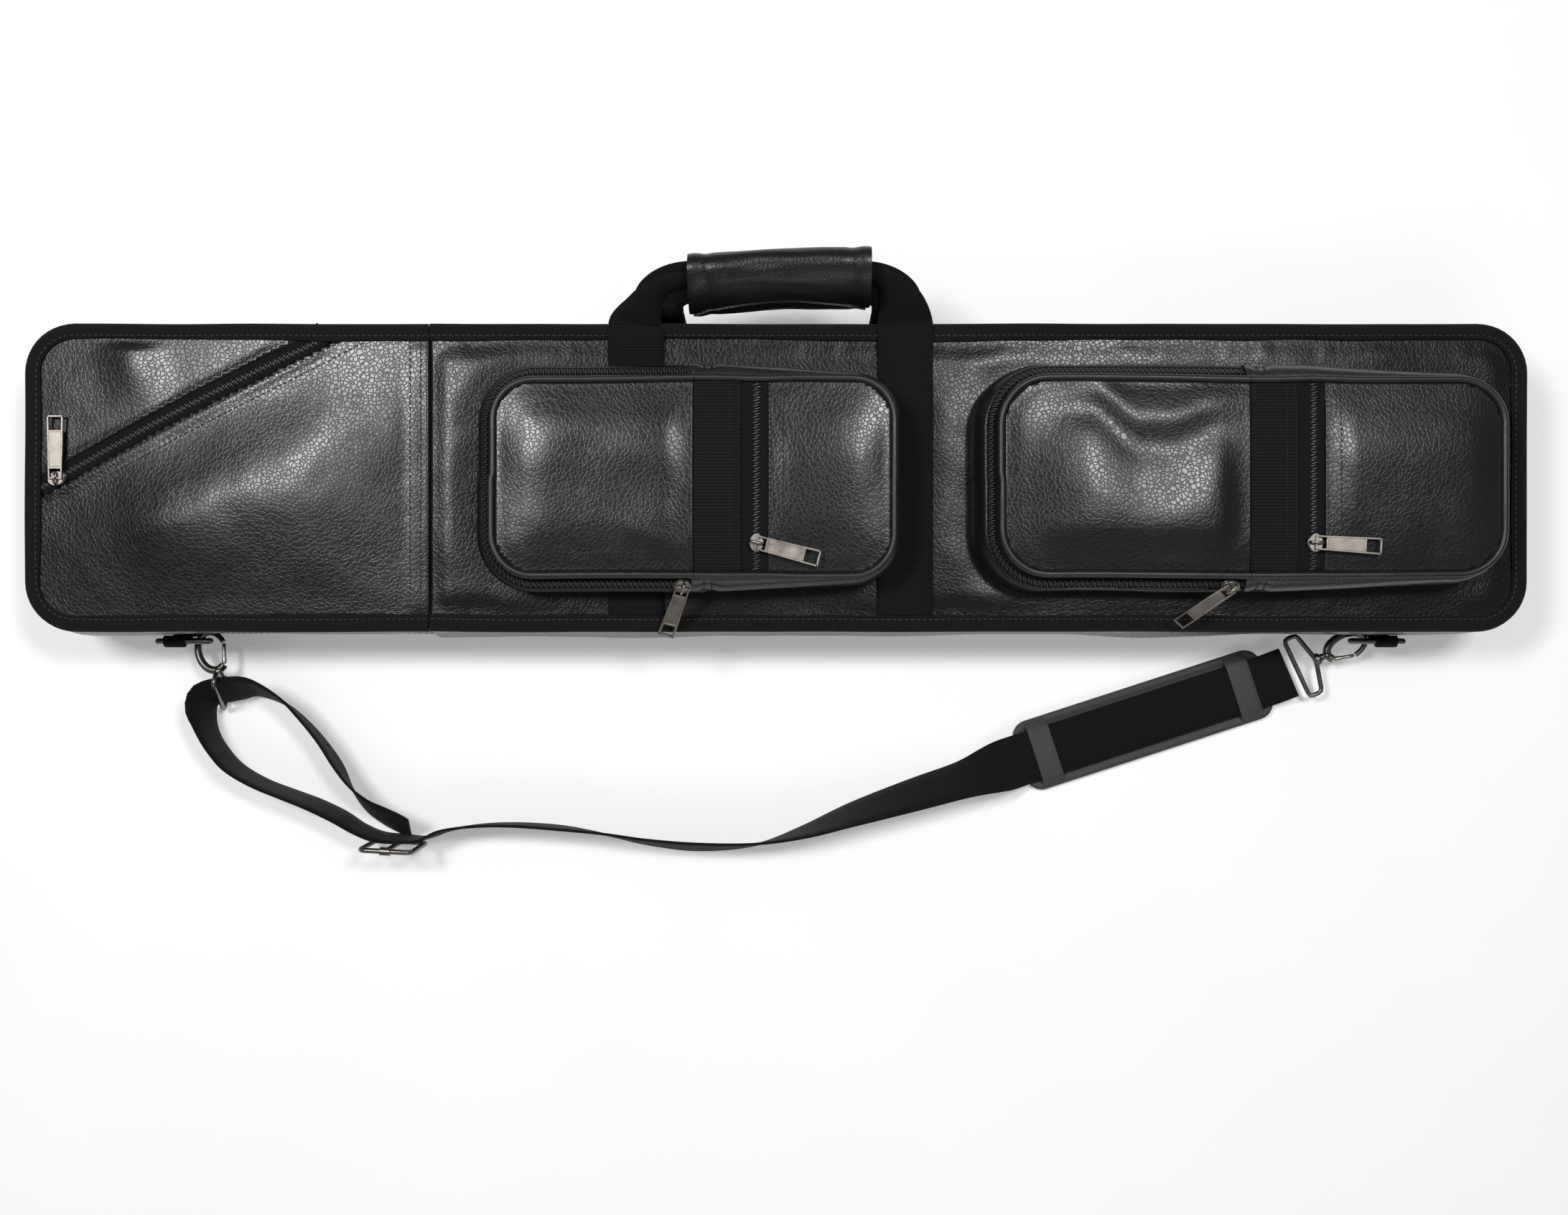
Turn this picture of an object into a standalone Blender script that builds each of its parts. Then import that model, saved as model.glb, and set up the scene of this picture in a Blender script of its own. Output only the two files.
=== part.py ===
"""A soft billiard cue case lying on its back: a padded leatherette body with a zipped lid end, two
front pockets with U-shaped zips, tubes for four butts and six shafts, a webbing carry handle and a
shoulder strap that runs through a slide buckle and a snap hook. Metres, +Z up; the origin is the
middle of the back face, +X runs to the butt end and +Y to the carry handle."""

import math

import bmesh
import bpy
from mathutils import Matrix, Vector

# Body
CASE_LENGTH = 0.864
CASE_WIDTH = 0.174
CORNER_RADIUS = 0.027
BACK_THICKNESS = 0.003
WALL_THICKNESS = 0.003
FRONT_LOW, FRONT_TOP = 0.0611, 0.0638
BINDING_WIDTH = 0.0105
BINDING_THICKNESS = 0.0012
BACK_BINDING_HEIGHT = 0.008
GAP = 0.0003
HALF_GAP = GAP / 2

# Lid
LID_HINGE_X = -0.200
LID_HINGE_Z = 0.0655
ZIP_LOW, ZIP_HIGH = 0.0126, 0.0157
LID_ZIP_START = Vector((-0.421, -0.004))
LID_ZIP_END = Vector((-0.270, 0.076))

# Tubes: outer diameter, bore, pitch, count
BUTT_TUBES = (0.0336, 0.0318, 0.0332, 4)
SHAFT_TUBES = (0.0236, 0.0218, 0.0232, 6)
TUBE_START, TUBE_END = -0.330, 0.415

# Pockets: x0, x1, y0, y1 of the face, its corner radius, and the hinge of its flap
POCKETS = {
    "mid": ((-0.160, 0.068, -0.059, 0.0545, 0.025), -0.0455),
    "large": ((0.124, 0.408, -0.059, 0.0545, 0.028), 0.2640),
}
POCKET_BASE = 0.0641
FLAP_RIM_LOW = 0.0890
WALL_TOP = 0.0932
FACE_LOW, FACE_TOP = 0.0935, 0.0975
PIPING_RADIUS = 0.00205
PIPING_HEIGHT = 0.0956
FACE_INSET = 0.0046
WEB_STRIP_WIDTH = 0.0263
FACE_ZIP_WIDTH = 0.0140

# Webbing
WEBBING_WIDTH = 0.032
WEBBING_THICKNESS = 0.0017
STRAP_X = {"left": -0.0807, "right": 0.0745}

# Handle
HANDLE_PIVOT = Vector((0.0, 0.0883, 0.0634))
HANDLE_LEAN = math.radians(50)
SLEEVE_X = (-0.049, 0.053)
SLEEVE_REACH = 0.031
SLEEVE_HALF = (0.019, 0.011)
SLEEVE_WALL = 0.0016

# Shoulder strap: x, y, lean of its upper edge to the right of the way it runs (degrees), lift
STRAP_THICKNESS = 0.0016
STRAP_CLEARANCE = 0.0006
STRAP_ROUTE = (
    (-0.2300, -0.2115, 4, 0.0), (-0.2390, -0.2065, 6, 0.0), (-0.2495, -0.1990, 8, 0.0),
    (-0.2590, -0.1860, 8, 0.0), (-0.2670, -0.1720, 8, 0.0), (-0.2770, -0.1570, 9, 0.0),
    (-0.2890, -0.1430, 11, 0.0), (-0.3010, -0.1320, 15, 0.001), (-0.3170, -0.1240, 22, 0.003),
    (-0.3280, -0.1240, 27, 0.005), (-0.3377, -0.1256, 28, 0.0055), (-0.3450, -0.1282, 25, 0.0045),
    (-0.3485, -0.1345, 16, 0.003), (-0.3485, -0.1425, 6, 0.001), (-0.3462, -0.1520, 1, 0.0),
    (-0.3405, -0.1618, 0, 0.0), (-0.3310, -0.1725, 0, 0.0), (-0.3155, -0.1818, 0, 0.0),
    (-0.2980, -0.1888, 1, 0.0), (-0.2825, -0.1948, 2, 0.0), (-0.2670, -0.2022, 2, 0.0),
    (-0.2550, -0.2095, 0, 0.0), (-0.2430, -0.2145, 0, 0.0), (-0.2300, -0.2160, 0, 0.0),
    (-0.2150, -0.2160, -4, 0.0), (-0.2020, -0.2110, -7, 0.0), (-0.1820, -0.2080, -6, 0.0),
    (-0.1590, -0.2075, -5, 0.0), (-0.1310, -0.2095, -5, 0.0), (-0.1035, -0.2135, -10, 0.0),
    (-0.0790, -0.2180, -14, 0.0), (-0.0480, -0.2210, -16, 0.0), (-0.0140, -0.2195, -10, 0.0),
    (0.0160, -0.2120, 4, 0.0), (0.0470, -0.2010, 18, 0.0), (0.0850, -0.1890, 30, 0.0),
    (0.1150, -0.1800, 38, 0.0), (0.1320, -0.1745, 58, 0.0020), (0.1450, -0.1705, 84, 0.0052),
    (0.1580, -0.1665, 90, 0.0052), (0.1750, -0.1612, 90, 0.0052), (0.2300, -0.1433, 90, 0.0052),
    (0.2850, -0.1254, 90, 0.0052), (0.3020, -0.1198, 90, 0.0060), (0.3145, -0.1147, 90, 0.0090),
)
PAD_START = Vector((0.1505, -0.1692, 0.0))
PAD_HEADING = math.radians(18)
PAD_SIZE = (0.160, 0.044, 0.005)
PAD_FLOOR_GAP = 0.0004
BUCKLE_CENTRE = Vector((-0.2325, -0.2200, 0.0205))
BUCKLE_HEADING = math.radians(-3)
BUCKLE_SIZE = (0.034, 0.040, 0.0030)
BUCKLE_BAR = 0.0032

# Hooks: where the claw's tip lies, the way to its eye, the claw's half width, and the eye's bar
HOOKS = {
    "left": {
        "tip": Vector((-0.3484, -0.0907, 0.0143)),
        "way": Vector((0.357, -0.924, 0.138)),
        "half": 0.0085,
        "bar": Vector((-0.3378, -0.1296, 0.0224)),
        "bar_way": Vector((0.168, 0.440, 0.882)),
    },
    "right": {
        "tip": Vector((0.3588, -0.0938, 0.0155)),
        "way": Vector((-0.900, -0.420, -0.100)),
        "half": 0.0072,
        "bar": Vector((0.3192, -0.1125, 0.0110)),
        "bar_way": Vector((-0.423, 0.906, 0.0)),
    },
}
CLAW_LENGTH = 0.024
CLAW_WIRE = 0.0017
GATE_WIRE = 0.0012
EYE_HALF, EYE_SHOULDER = 0.019, 0.0078
POST_END, COLLAR_START, COLLAR_END = 0.0285, 0.0288, 0.0325
D_RING_X = {"left": -0.357, "right": 0.362}
TAB_WIDTH = 0.0120
TAB_SHIFT = {"left": -0.0048, "right": 0.0048}
D_RING_Y, D_RING_Z = -0.0953, 0.028
D_RING_HALF, D_RING_DEPTH, D_RING_WIRE = 0.015, 0.018, 0.0017

# Pulls and sliders, in a frame of their own: x along the pull, z out of the surface
PULL_LENGTH, PULL_NARROW, PULL_WIDE, PULL_THICKNESS = 0.036, 0.0080, 0.0095, 0.0013
PULL_HEIGHT = 0.0043
SLIDER_SIZE = (0.0100, 0.0076, 0.0028)
BAIL_REACH, BAIL_WIRE = 0.0030, 0.0007
ZIPS = {
    # zip: where its slider sits, the way it travels, out of the surface, the way its pull points
    "diagonal": (Vector((-0.4145, -0.0005, 0.0632)), (0.883, 0.469, 0), (0, 0, 1), (0, 1, 0)),
    "main": (Vector((-0.215, 0.0884, 0.0141)), (-1, 0, 0), (0, 1, 0), (1, 0, 0)),
    "mid_face": (Vector((-0.0106, -0.039, 0.0966)), (0, 1, 0), (0, 0, 1), (0.968, -0.252, 0)),
    "mid_side": (Vector((-0.0520, -0.0618, 0.0879)), (-1, 0, 0), (0, -0.62, 0.78), (-0.33, -0.78, -0.62)),
    "large_face": (Vector((0.2989, -0.039, 0.0966)), (0, 1, 0), (0, 0, 1), (0.998, -0.063, 0)),
    "large_side": (Vector((0.2545, -0.0618, 0.0879)), (-1, 0, 0), (0, -0.62, 0.78), (-1.0, -0.78, -0.62)),
}

COLOURS = {
    "leather": ((0.022, 0.021, 0.021), 0.50, 0.0),
    "binding": ((0.010, 0.009, 0.009), 0.85, 0.0),
    "webbing": ((0.008, 0.008, 0.009), 0.80, 0.0),
    "metal": ((0.30, 0.29, 0.27), 0.35, 1.0),
    "zipper": ((0.012, 0.012, 0.012), 0.45, 0.0),
    "tube": ((0.03, 0.03, 0.03), 0.45, 0.0),
    "pad": ((0.035, 0.038, 0.038), 0.80, 0.0),
}

CASE_RECT = (-CASE_LENGTH / 2, CASE_LENGTH / 2, -CASE_WIDTH / 2, CASE_WIDTH / 2, CORNER_RADIUS)
SHELL_OUT = 0.0015
BACK_BINDING_OUT = (0.0023, 0.0035)


def clear_scene():
    for obj in list(bpy.data.objects):
        bpy.data.objects.remove(obj, do_unlink=True)
    parts = bpy.data.collections.new("cue_case")
    cutters = bpy.data.collections.new("cutters")
    for collection in (parts, cutters):
        bpy.context.scene.collection.children.link(collection)
    return parts, cutters


PARTS, CUTTERS = clear_scene()
PIVOTS = {}


def make_material(name):
    colour, roughness, metallic = COLOURS[name]
    made = bpy.data.materials.new(name)
    made.use_nodes = True
    shader = made.node_tree.nodes["Principled BSDF"]
    shader.inputs["Base Color"].default_value = (*colour, 1)
    shader.inputs["Roughness"].default_value = roughness
    shader.inputs["Metallic"].default_value = metallic
    return made


MATERIALS = {name: make_material(name) for name in COLOURS}


def pivot(name, place, parent=None):
    """An empty on a joint's axis, which the pieces that move about it are parented to."""
    empty = bpy.data.objects.new(name, None)
    empty.empty_display_size = 0.01
    PARTS.objects.link(empty)
    empty.location = place
    PIVOTS[name] = Vector(place)
    if parent:
        hang(empty, parent)
    return name


def hang(obj, name):
    obj.parent = bpy.data.objects[name]
    obj.matrix_parent_inverse = Matrix.Translation(-PIVOTS[name])


def finish(obj, material, on=None, smooth=False):
    obj.data.materials.clear()
    obj.data.materials.append(MATERIALS[material])
    if smooth:
        obj.data.shade_smooth()
        obj.data.set_sharp_from_angle(angle=math.radians(40))
    if on:
        hang(obj, on)
    return obj


def meshed(curve_object, name):
    """The curve as a closed mesh: its caps are welded to its sides."""
    bpy.context.view_layer.update()
    graph = bpy.context.evaluated_depsgraph_get()
    mesh = bpy.data.meshes.new_from_object(curve_object.evaluated_get(graph))
    place = curve_object.matrix_world.copy()
    bpy.data.objects.remove(curve_object, do_unlink=True)
    shape = bmesh.new()
    shape.from_mesh(mesh)
    bmesh.ops.remove_doubles(shape, verts=shape.verts, dist=1e-6)
    bmesh.ops.recalc_face_normals(shape, faces=shape.faces)
    shape.to_mesh(mesh)
    shape.free()
    mesh.name = name
    made = bpy.data.objects.new(name, mesh)
    made.matrix_world = place
    PARTS.objects.link(made)
    return made


def plate(name, loops, low, high, place=None):
    """A flat outline, with holes, from low to high along the Z of its place."""
    curve = bpy.data.curves.new(name, "CURVE")
    curve.dimensions = "2D"
    curve.fill_mode = "BOTH"
    curve.extrude = (high - low) / 2
    for loop in loops:
        spline = curve.splines.new("POLY")
        spline.points.add(len(loop) - 1)
        for point, (x, y) in zip(spline.points, loop):
            point.co = (x, y, 0, 1)
        spline.use_cyclic_u = True
    made = bpy.data.objects.new(name, curve)
    PARTS.objects.link(made)
    made.matrix_world = (place or Matrix()) @ Matrix.Translation((0, 0, (low + high) / 2))
    return meshed(made, name)


def wire(name, points, radius, closed=False, sides=2):
    curve = bpy.data.curves.new(name, "CURVE")
    curve.dimensions = "3D"
    curve.bevel_depth = radius
    curve.bevel_resolution = sides - 1
    curve.use_fill_caps = not closed
    spline = curve.splines.new("POLY")
    spline.points.add(len(points) - 1)
    for point, place in zip(spline.points, points):
        point.co = (*place, 1)
    spline.use_cyclic_u = closed
    made = bpy.data.objects.new(name, curve)
    PARTS.objects.link(made)
    return meshed(made, name)


def block(name, low, high, bevel=0.0, place=None):
    shape = bmesh.new()
    bmesh.ops.create_cube(shape, size=1.0)
    low, high = Vector(low), Vector(high)
    middle, size = (low + high) / 2, high - low
    for vert in shape.verts:
        vert.co = Vector(a * b for a, b in zip(vert.co, size)) + middle
    if bevel:
        bmesh.ops.bevel(shape, geom=shape.edges[:], offset=bevel, segments=2, profile=0.5, affect="EDGES")
    mesh = bpy.data.meshes.new(name)
    shape.to_mesh(mesh)
    shape.free()
    made = bpy.data.objects.new(name, mesh)
    made.matrix_world = place or Matrix()
    PARTS.objects.link(made)
    return made


def rod(name, start, end, radius, sides=12):
    shape = bmesh.new()
    start, end = Vector(start), Vector(end)
    run = end - start
    bmesh.ops.create_cone(shape, cap_ends=True, segments=sides, radius1=radius, radius2=radius, depth=run.length)
    mesh = bpy.data.meshes.new(name)
    shape.to_mesh(mesh)
    shape.free()
    made = bpy.data.objects.new(name, mesh)
    made.matrix_world = Matrix.Translation((start + end) / 2) @ run.to_track_quat("Z", "Y").to_matrix().to_4x4()
    PARTS.objects.link(made)
    return made


def combine(obj, other, operation):
    """A Boolean with a helper, which moves to the cutters."""
    PARTS.objects.unlink(other)
    CUTTERS.objects.link(other)
    other.hide_render = True
    other.display_type = "WIRE"
    modifier = obj.modifiers.new(other.name, "BOOLEAN")
    modifier.object = other
    modifier.operation = operation
    modifier.solver = "EXACT"
    return obj


def rounded(rect, out=0.0, steps=6):
    """The points of a rounded rectangle grown by out, anticlockwise from its lower right arc."""
    x0, x1, y0, y1, radius = rect
    centres = (
        (x1 - radius, y0 + radius, -90), (x1 - radius, y1 - radius, 0),
        (x0 + radius, y1 - radius, 90), (x0 + radius, y0 + radius, 180),
    )
    grown = radius + out
    points = []
    for cx, cy, first in centres:
        for step in range(steps + 1):
            angle = math.radians(first + 90 * step / steps)
            points.append((cx + grown * math.cos(angle), cy + grown * math.sin(angle)))
    return points


def half_round(rect, out, cut, side, steps=6):
    """The part of that outline left or right of x = cut, from one cut to the other."""
    x0, x1, y0, y1, _ = rect
    points = rounded(rect, out, steps)
    half = len(points) // 2
    if side == "right":
        return [(cut, y0 - out), *points[:half], (cut, y1 + out)]
    return [(cut, y1 + out), *points[half:], (cut, y0 - out)]


def strip(rect, outer, inner, cut, side):
    """A C-shaped strip along the outline, between two offsets."""
    return half_round(rect, outer, cut, side) + half_round(rect, inner, cut, side)[::-1]


def clipped(points, through, keep):
    """The part of a convex outline on the side of a line that keep points to."""
    kept = []
    through, keep = Vector(through), Vector(keep)
    for here, after in zip(points, points[1:] + points[:1]):
        a = (Vector(here) - through).dot(keep)
        b = (Vector(after) - through).dot(keep)
        if a >= 0:
            kept.append(tuple(here))
        if a * b < 0:
            kept.append(tuple(Vector(here).lerp(Vector(after), a / (a - b))))
    return kept


def smooth_path(points, count):
    """Evenly spaced points on a Catmull-Rom curve through the given ones, of any dimension."""
    fine = []
    for i in range(len(points) - 1):
        p0, p1 = points[max(i - 1, 0)], points[i]
        p2, p3 = points[i + 1], points[min(i + 2, len(points) - 1)]
        for k in range(12):
            t = k / 12
            fine.append([
                0.5 * (2 * b + (c - a) * t + (2 * a - 5 * b + 4 * c - d) * t * t + (3 * b - a - 3 * c + d) * t**3)
                for a, b, c, d in zip(p0, p1, p2, p3)
            ])
    fine.append(list(points[-1]))
    lengths = [0.0]
    for a, b in zip(fine, fine[1:]):
        lengths.append(lengths[-1] + math.dist(a[:3], b[:3]))
    out, j = [], 0
    for n in range(count):
        want = lengths[-1] * n / (count - 1)
        while j < len(fine) - 2 and lengths[j + 1] < want:
            j += 1
        share = (want - lengths[j]) / max(lengths[j + 1] - lengths[j], 1e-9)
        out.append([a + (b - a) * min(share, 1.0) for a, b in zip(fine[j], fine[j + 1])])
    return out


def build_body():
    full = rounded(CASE_RECT, -0.0005)
    finish(plate("back_panel", [rounded(CASE_RECT, 0.002)], 0, BACK_THICKNESS), "leather")
    finish(
        plate("back_binding", [rounded(CASE_RECT, BACK_BINDING_OUT[1]), rounded(CASE_RECT, BACK_BINDING_OUT[0])],
              GAP, BACK_BINDING_HEIGHT),
        "binding",
    )
    inner = SHELL_OUT - WALL_THICKNESS
    right = LID_HINGE_X + HALF_GAP
    wall = plate("case_wall", [rounded(CASE_RECT, SHELL_OUT), rounded(CASE_RECT, inner)],
                 BACK_THICKNESS + GAP, ZIP_LOW - GAP)
    upper = plate("case_wall_upper", [strip(CASE_RECT, SHELL_OUT, inner, right, "right")],
                  ZIP_LOW - 0.001, FRONT_LOW - GAP)
    finish(combine(wall, upper, "UNION"), "leather")
    finish(plate("front_panel", [clipped(full, (right, 0), (1, 0))], FRONT_LOW, FRONT_TOP), "leather")
    binding_low = FRONT_TOP + GAP
    finish(
        plate("front_binding", [strip(CASE_RECT, 0, -BINDING_WIDTH, right, "right")],
              binding_low, binding_low + BINDING_THICKNESS),
        "binding",
    )
    finish(plate("main_zip_chain", [strip(CASE_RECT, 0.0012, -0.0008, LID_HINGE_X, "left")], ZIP_LOW, ZIP_HIGH),
           "zipper")


def build_lid():
    on = pivot("lid_pivot", (LID_HINGE_X, 0, LID_HINGE_Z))
    left = LID_HINGE_X - HALF_GAP
    inner = SHELL_OUT - WALL_THICKNESS
    outline = clipped(rounded(CASE_RECT, -0.0005), (left, 0), (-1, 0))
    way = (LID_ZIP_END - LID_ZIP_START).normalized()
    across = Vector((-way.y, way.x))
    upper_edge, lower_edge = LID_ZIP_START + across * 0.0068, LID_ZIP_START - across * 0.0042
    finish(plate("lid_panel", [clipped(outline, lower_edge, -across)], FRONT_LOW, FRONT_TOP), "leather", on)
    finish(plate("lid_corner_panel", [clipped(outline, upper_edge, across)], FRONT_LOW, FRONT_TOP), "leather", on)
    chain = clipped(clipped(outline, lower_edge + across * GAP, across), upper_edge - across * GAP, -across)
    finish(plate("lid_zip_chain", [chain], FRONT_LOW, FRONT_TOP - 0.0008), "zipper", on)
    binding_low = FRONT_TOP + GAP
    finish(
        plate("lid_binding", [strip(CASE_RECT, 0, -BINDING_WIDTH, left, "left")],
              binding_low, binding_low + BINDING_THICKNESS),
        "binding", on,
    )
    finish(
        plate("lid_wall", [strip(CASE_RECT, SHELL_OUT, inner, left, "left")], ZIP_HIGH + GAP, FRONT_LOW - GAP),
        "leather", on,
    )


def build_tubes(name, size, low):
    """A row of tubes joined at their sides, as one moulding along X."""
    outer, bore, pitch, count = size
    radius = outer / 2
    meet = math.degrees(math.acos(pitch / outer))
    centres = [(i - (count - 1) / 2) * pitch for i in range(count)]
    scallops = []
    for side, row in ((90, centres[::-1]), (270, centres)):
        for i, centre in enumerate(row):
            first = side - 90 + (meet if i else 0)
            last = side + 90 - (meet if i < count - 1 else 0)
            for k in range(9):
                angle = math.radians(first + (last - first) * k / 8)
                scallops.append((centre + radius * math.cos(angle), radius * math.sin(angle)))
    outline = [p for p, q in zip(scallops, scallops[1:] + scallops[:1]) if math.dist(p, q) > 1e-5]
    circles = [
        [(c + bore / 2 * math.cos(math.tau * k / 16), bore / 2 * math.sin(math.tau * k / 16)) for k in range(16)]
        for c in centres
    ]
    along_x = Matrix(((0, 0, 1, 0), (1, 0, 0, 0), (0, 1, 0, low + radius), (0, 0, 0, 1)))
    finish(plate(name, [outline, *circles], TUBE_START, TUBE_END, along_x), "tube", smooth=True)


def build_front_straps():
    low = FRONT_TOP + GAP
    for side, x in STRAP_X.items():
        reach = CASE_WIDTH / 2 - BINDING_WIDTH - GAP
        half = WEBBING_WIDTH / 2
        strap = block(f"handle_strap_{side}", (x - half, -reach, low), (x + half, reach, low + WEBBING_THICKNESS))
        finish(strap, "webbing")


def build_pocket(name):
    rect, hinge = POCKETS[name]
    left, right = hinge - HALF_GAP, hinge + HALF_GAP
    outer, inner = -0.0003, -0.0028
    wall = plate(f"{name}_pocket_wall", [rounded(rect, outer), rounded(rect, inner)], POCKET_BASE, 0.0850)
    upper = plate(f"{name}_pocket_wall_upper", [strip(rect, outer, inner, right, "right")], 0.0840, WALL_TOP)
    combine(wall, upper, "UNION")
    if name == "mid":
        half = WEBBING_WIDTH / 2 + GAP
        top = FRONT_TOP + 2 * GAP + WEBBING_THICKNESS
        for side, x in STRAP_X.items():
            combine(wall, block(f"notch_{side}", (x - half, -0.08, 0.060), (x + half, 0.08, top)), "DIFFERENCE")
    finish(wall, "leather")
    finish(plate(f"{name}_side_zip", [strip(rect, 0.0016, -0.0026, left, "left")], 0.0853, 0.0887), "zipper")

    face = rounded(rect, -FACE_INSET)
    strip_end = hinge + WEB_STRIP_WIDTH
    zip_end = strip_end + FACE_ZIP_WIDTH
    middle = clipped(clipped(face, (right, 0), (1, 0)), (strip_end, 0), (-1, 0))
    finish(plate(f"{name}_web_strip", [middle], FACE_LOW, FACE_TOP), "webbing")
    middle = clipped(clipped(face, (strip_end + GAP, 0), (1, 0)), (zip_end, 0), (-1, 0))
    finish(plate(f"{name}_face_zip", [middle], FACE_LOW, FACE_TOP - 0.0009), "zipper")
    finish(plate(f"{name}_right_panel", [clipped(face, (zip_end + GAP, 0), (1, 0))], FACE_LOW, FACE_TOP), "leather")

    on = pivot(f"{name}_flap_pivot", (hinge, 0, PIPING_HEIGHT + PIPING_RADIUS + GAP))
    rim = plate(f"{name}_flap", [strip(rect, outer, -0.0080, left, "left")], FLAP_RIM_LOW, WALL_TOP)
    top = plate(f"{name}_flap_top", [clipped(face, (left, 0), (-1, 0))], WALL_TOP - 0.0002, FACE_TOP)
    finish(combine(rim, top, "UNION"), "leather", on)
    for side, cut, part, rides in (
        ("right", right, f"{name}_piping", None), ("left", left, f"{name}_flap_piping", on),
    ):
        path = [(x, y, PIPING_HEIGHT) for x, y in half_round(rect, -PIPING_RADIUS, cut, side)]
        finish(wire(part, path, PIPING_RADIUS), "leather", rides, smooth=True)


def frame_of(origin, x_way, z_way):
    """A matrix whose Z points along z_way and whose X points as nearly as it can along x_way."""
    z = Vector(z_way).normalized()
    x = Vector(x_way)
    x = (x - z * x.dot(z)).normalized()
    y = z.cross(x)
    made = Matrix((x, y, z)).transposed().to_4x4()
    made.translation = origin
    return made


def build_zip(name, parent=None):
    """The slider, with the bail that its pull hangs in, and the pull."""
    origin, travel, out, heading = ZIPS[name]
    slide = pivot(f"{name}_slide", origin, parent)
    length, width, height = SLIDER_SIZE
    body = block(
        f"{name}_slider", (-length / 2, -width / 2, GAP), (length / 2, width / 2, GAP + height),
        0.0009, frame_of(origin, travel, out),
    )
    pull_frame = frame_of(origin, heading, out)
    top = GAP + height
    arch = [
        (-BAIL_REACH, 0, top - 0.0006), (-BAIL_REACH, 0, top + 0.0016), (-BAIL_REACH * 0.6, 0, top + 0.0031),
        (BAIL_REACH * 0.6, 0, top + 0.0031), (BAIL_REACH, 0, top + 0.0016), (BAIL_REACH, 0, top - 0.0006),
    ]
    bail = wire(f"{name}_bail", [pull_frame @ Vector(p) for p in arch], BAIL_WIRE)
    finish(combine(body, bail, "UNION"), "metal", slide)

    swing = pivot(f"{name}_swing", pull_frame @ Vector((0, 0, PULL_HEIGHT)), slide)
    start = -0.0007
    near, far = PULL_NARROW / 2, PULL_WIDE / 2
    outline = [(start, -near), (PULL_LENGTH, -far), (PULL_LENGTH, far), (start, near)]
    slot = [(0.0007, -0.0022), (0.0052, -0.0022), (0.0052, 0.0022), (0.0007, 0.0022)]
    window = [(0.0275, -0.0026), (0.0330, -0.0026), (0.0330, 0.0026), (0.0275, 0.0026)]
    low = PULL_HEIGHT - PULL_THICKNESS / 2
    finish(plate(f"{name}_pull", [outline, slot, window], low, low + PULL_THICKNESS, pull_frame), "metal", swing)


def bent(obj, bends, shape_at):
    """Cuts a flat plate across at each distance in bends, then maps its (x, s, t) onto shape_at(s, t)."""
    shape = bmesh.new()
    shape.from_mesh(obj.data)
    shape.transform(obj.matrix_world)
    for s in bends:
        geometry = shape.verts[:] + shape.edges[:] + shape.faces[:]
        bmesh.ops.bisect_plane(shape, geom=geometry, plane_co=(0, s, 0), plane_no=(0, 1, 0), dist=1e-7)
    bmesh.ops.triangulate(shape, faces=shape.faces[:])
    for vert in shape.verts:
        vert.co = (vert.co.x, *shape_at(vert.co.y, vert.co.z))
    shape.to_mesh(obj.data)
    shape.free()
    obj.matrix_world = Matrix()
    return obj


def along_profile(profile):
    """A function from (distance, thickness) to the (y, z) beside a polyline in the YZ plane."""
    stations = [0.0]
    for a, b in zip(profile, profile[1:]):
        stations.append(stations[-1] + math.dist(a, b))

    def shape_at(s, t):
        k = max(i for i in range(len(stations) - 1) if i == 0 or stations[i] <= s + 1e-9)
        a, b = Vector(profile[k]), Vector(profile[k + 1])
        way = (b - a).normalized()
        place = a + way * (s - stations[k])
        return place.x - way.y * t, place.y + way.x * t

    return shape_at, stations


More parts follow.
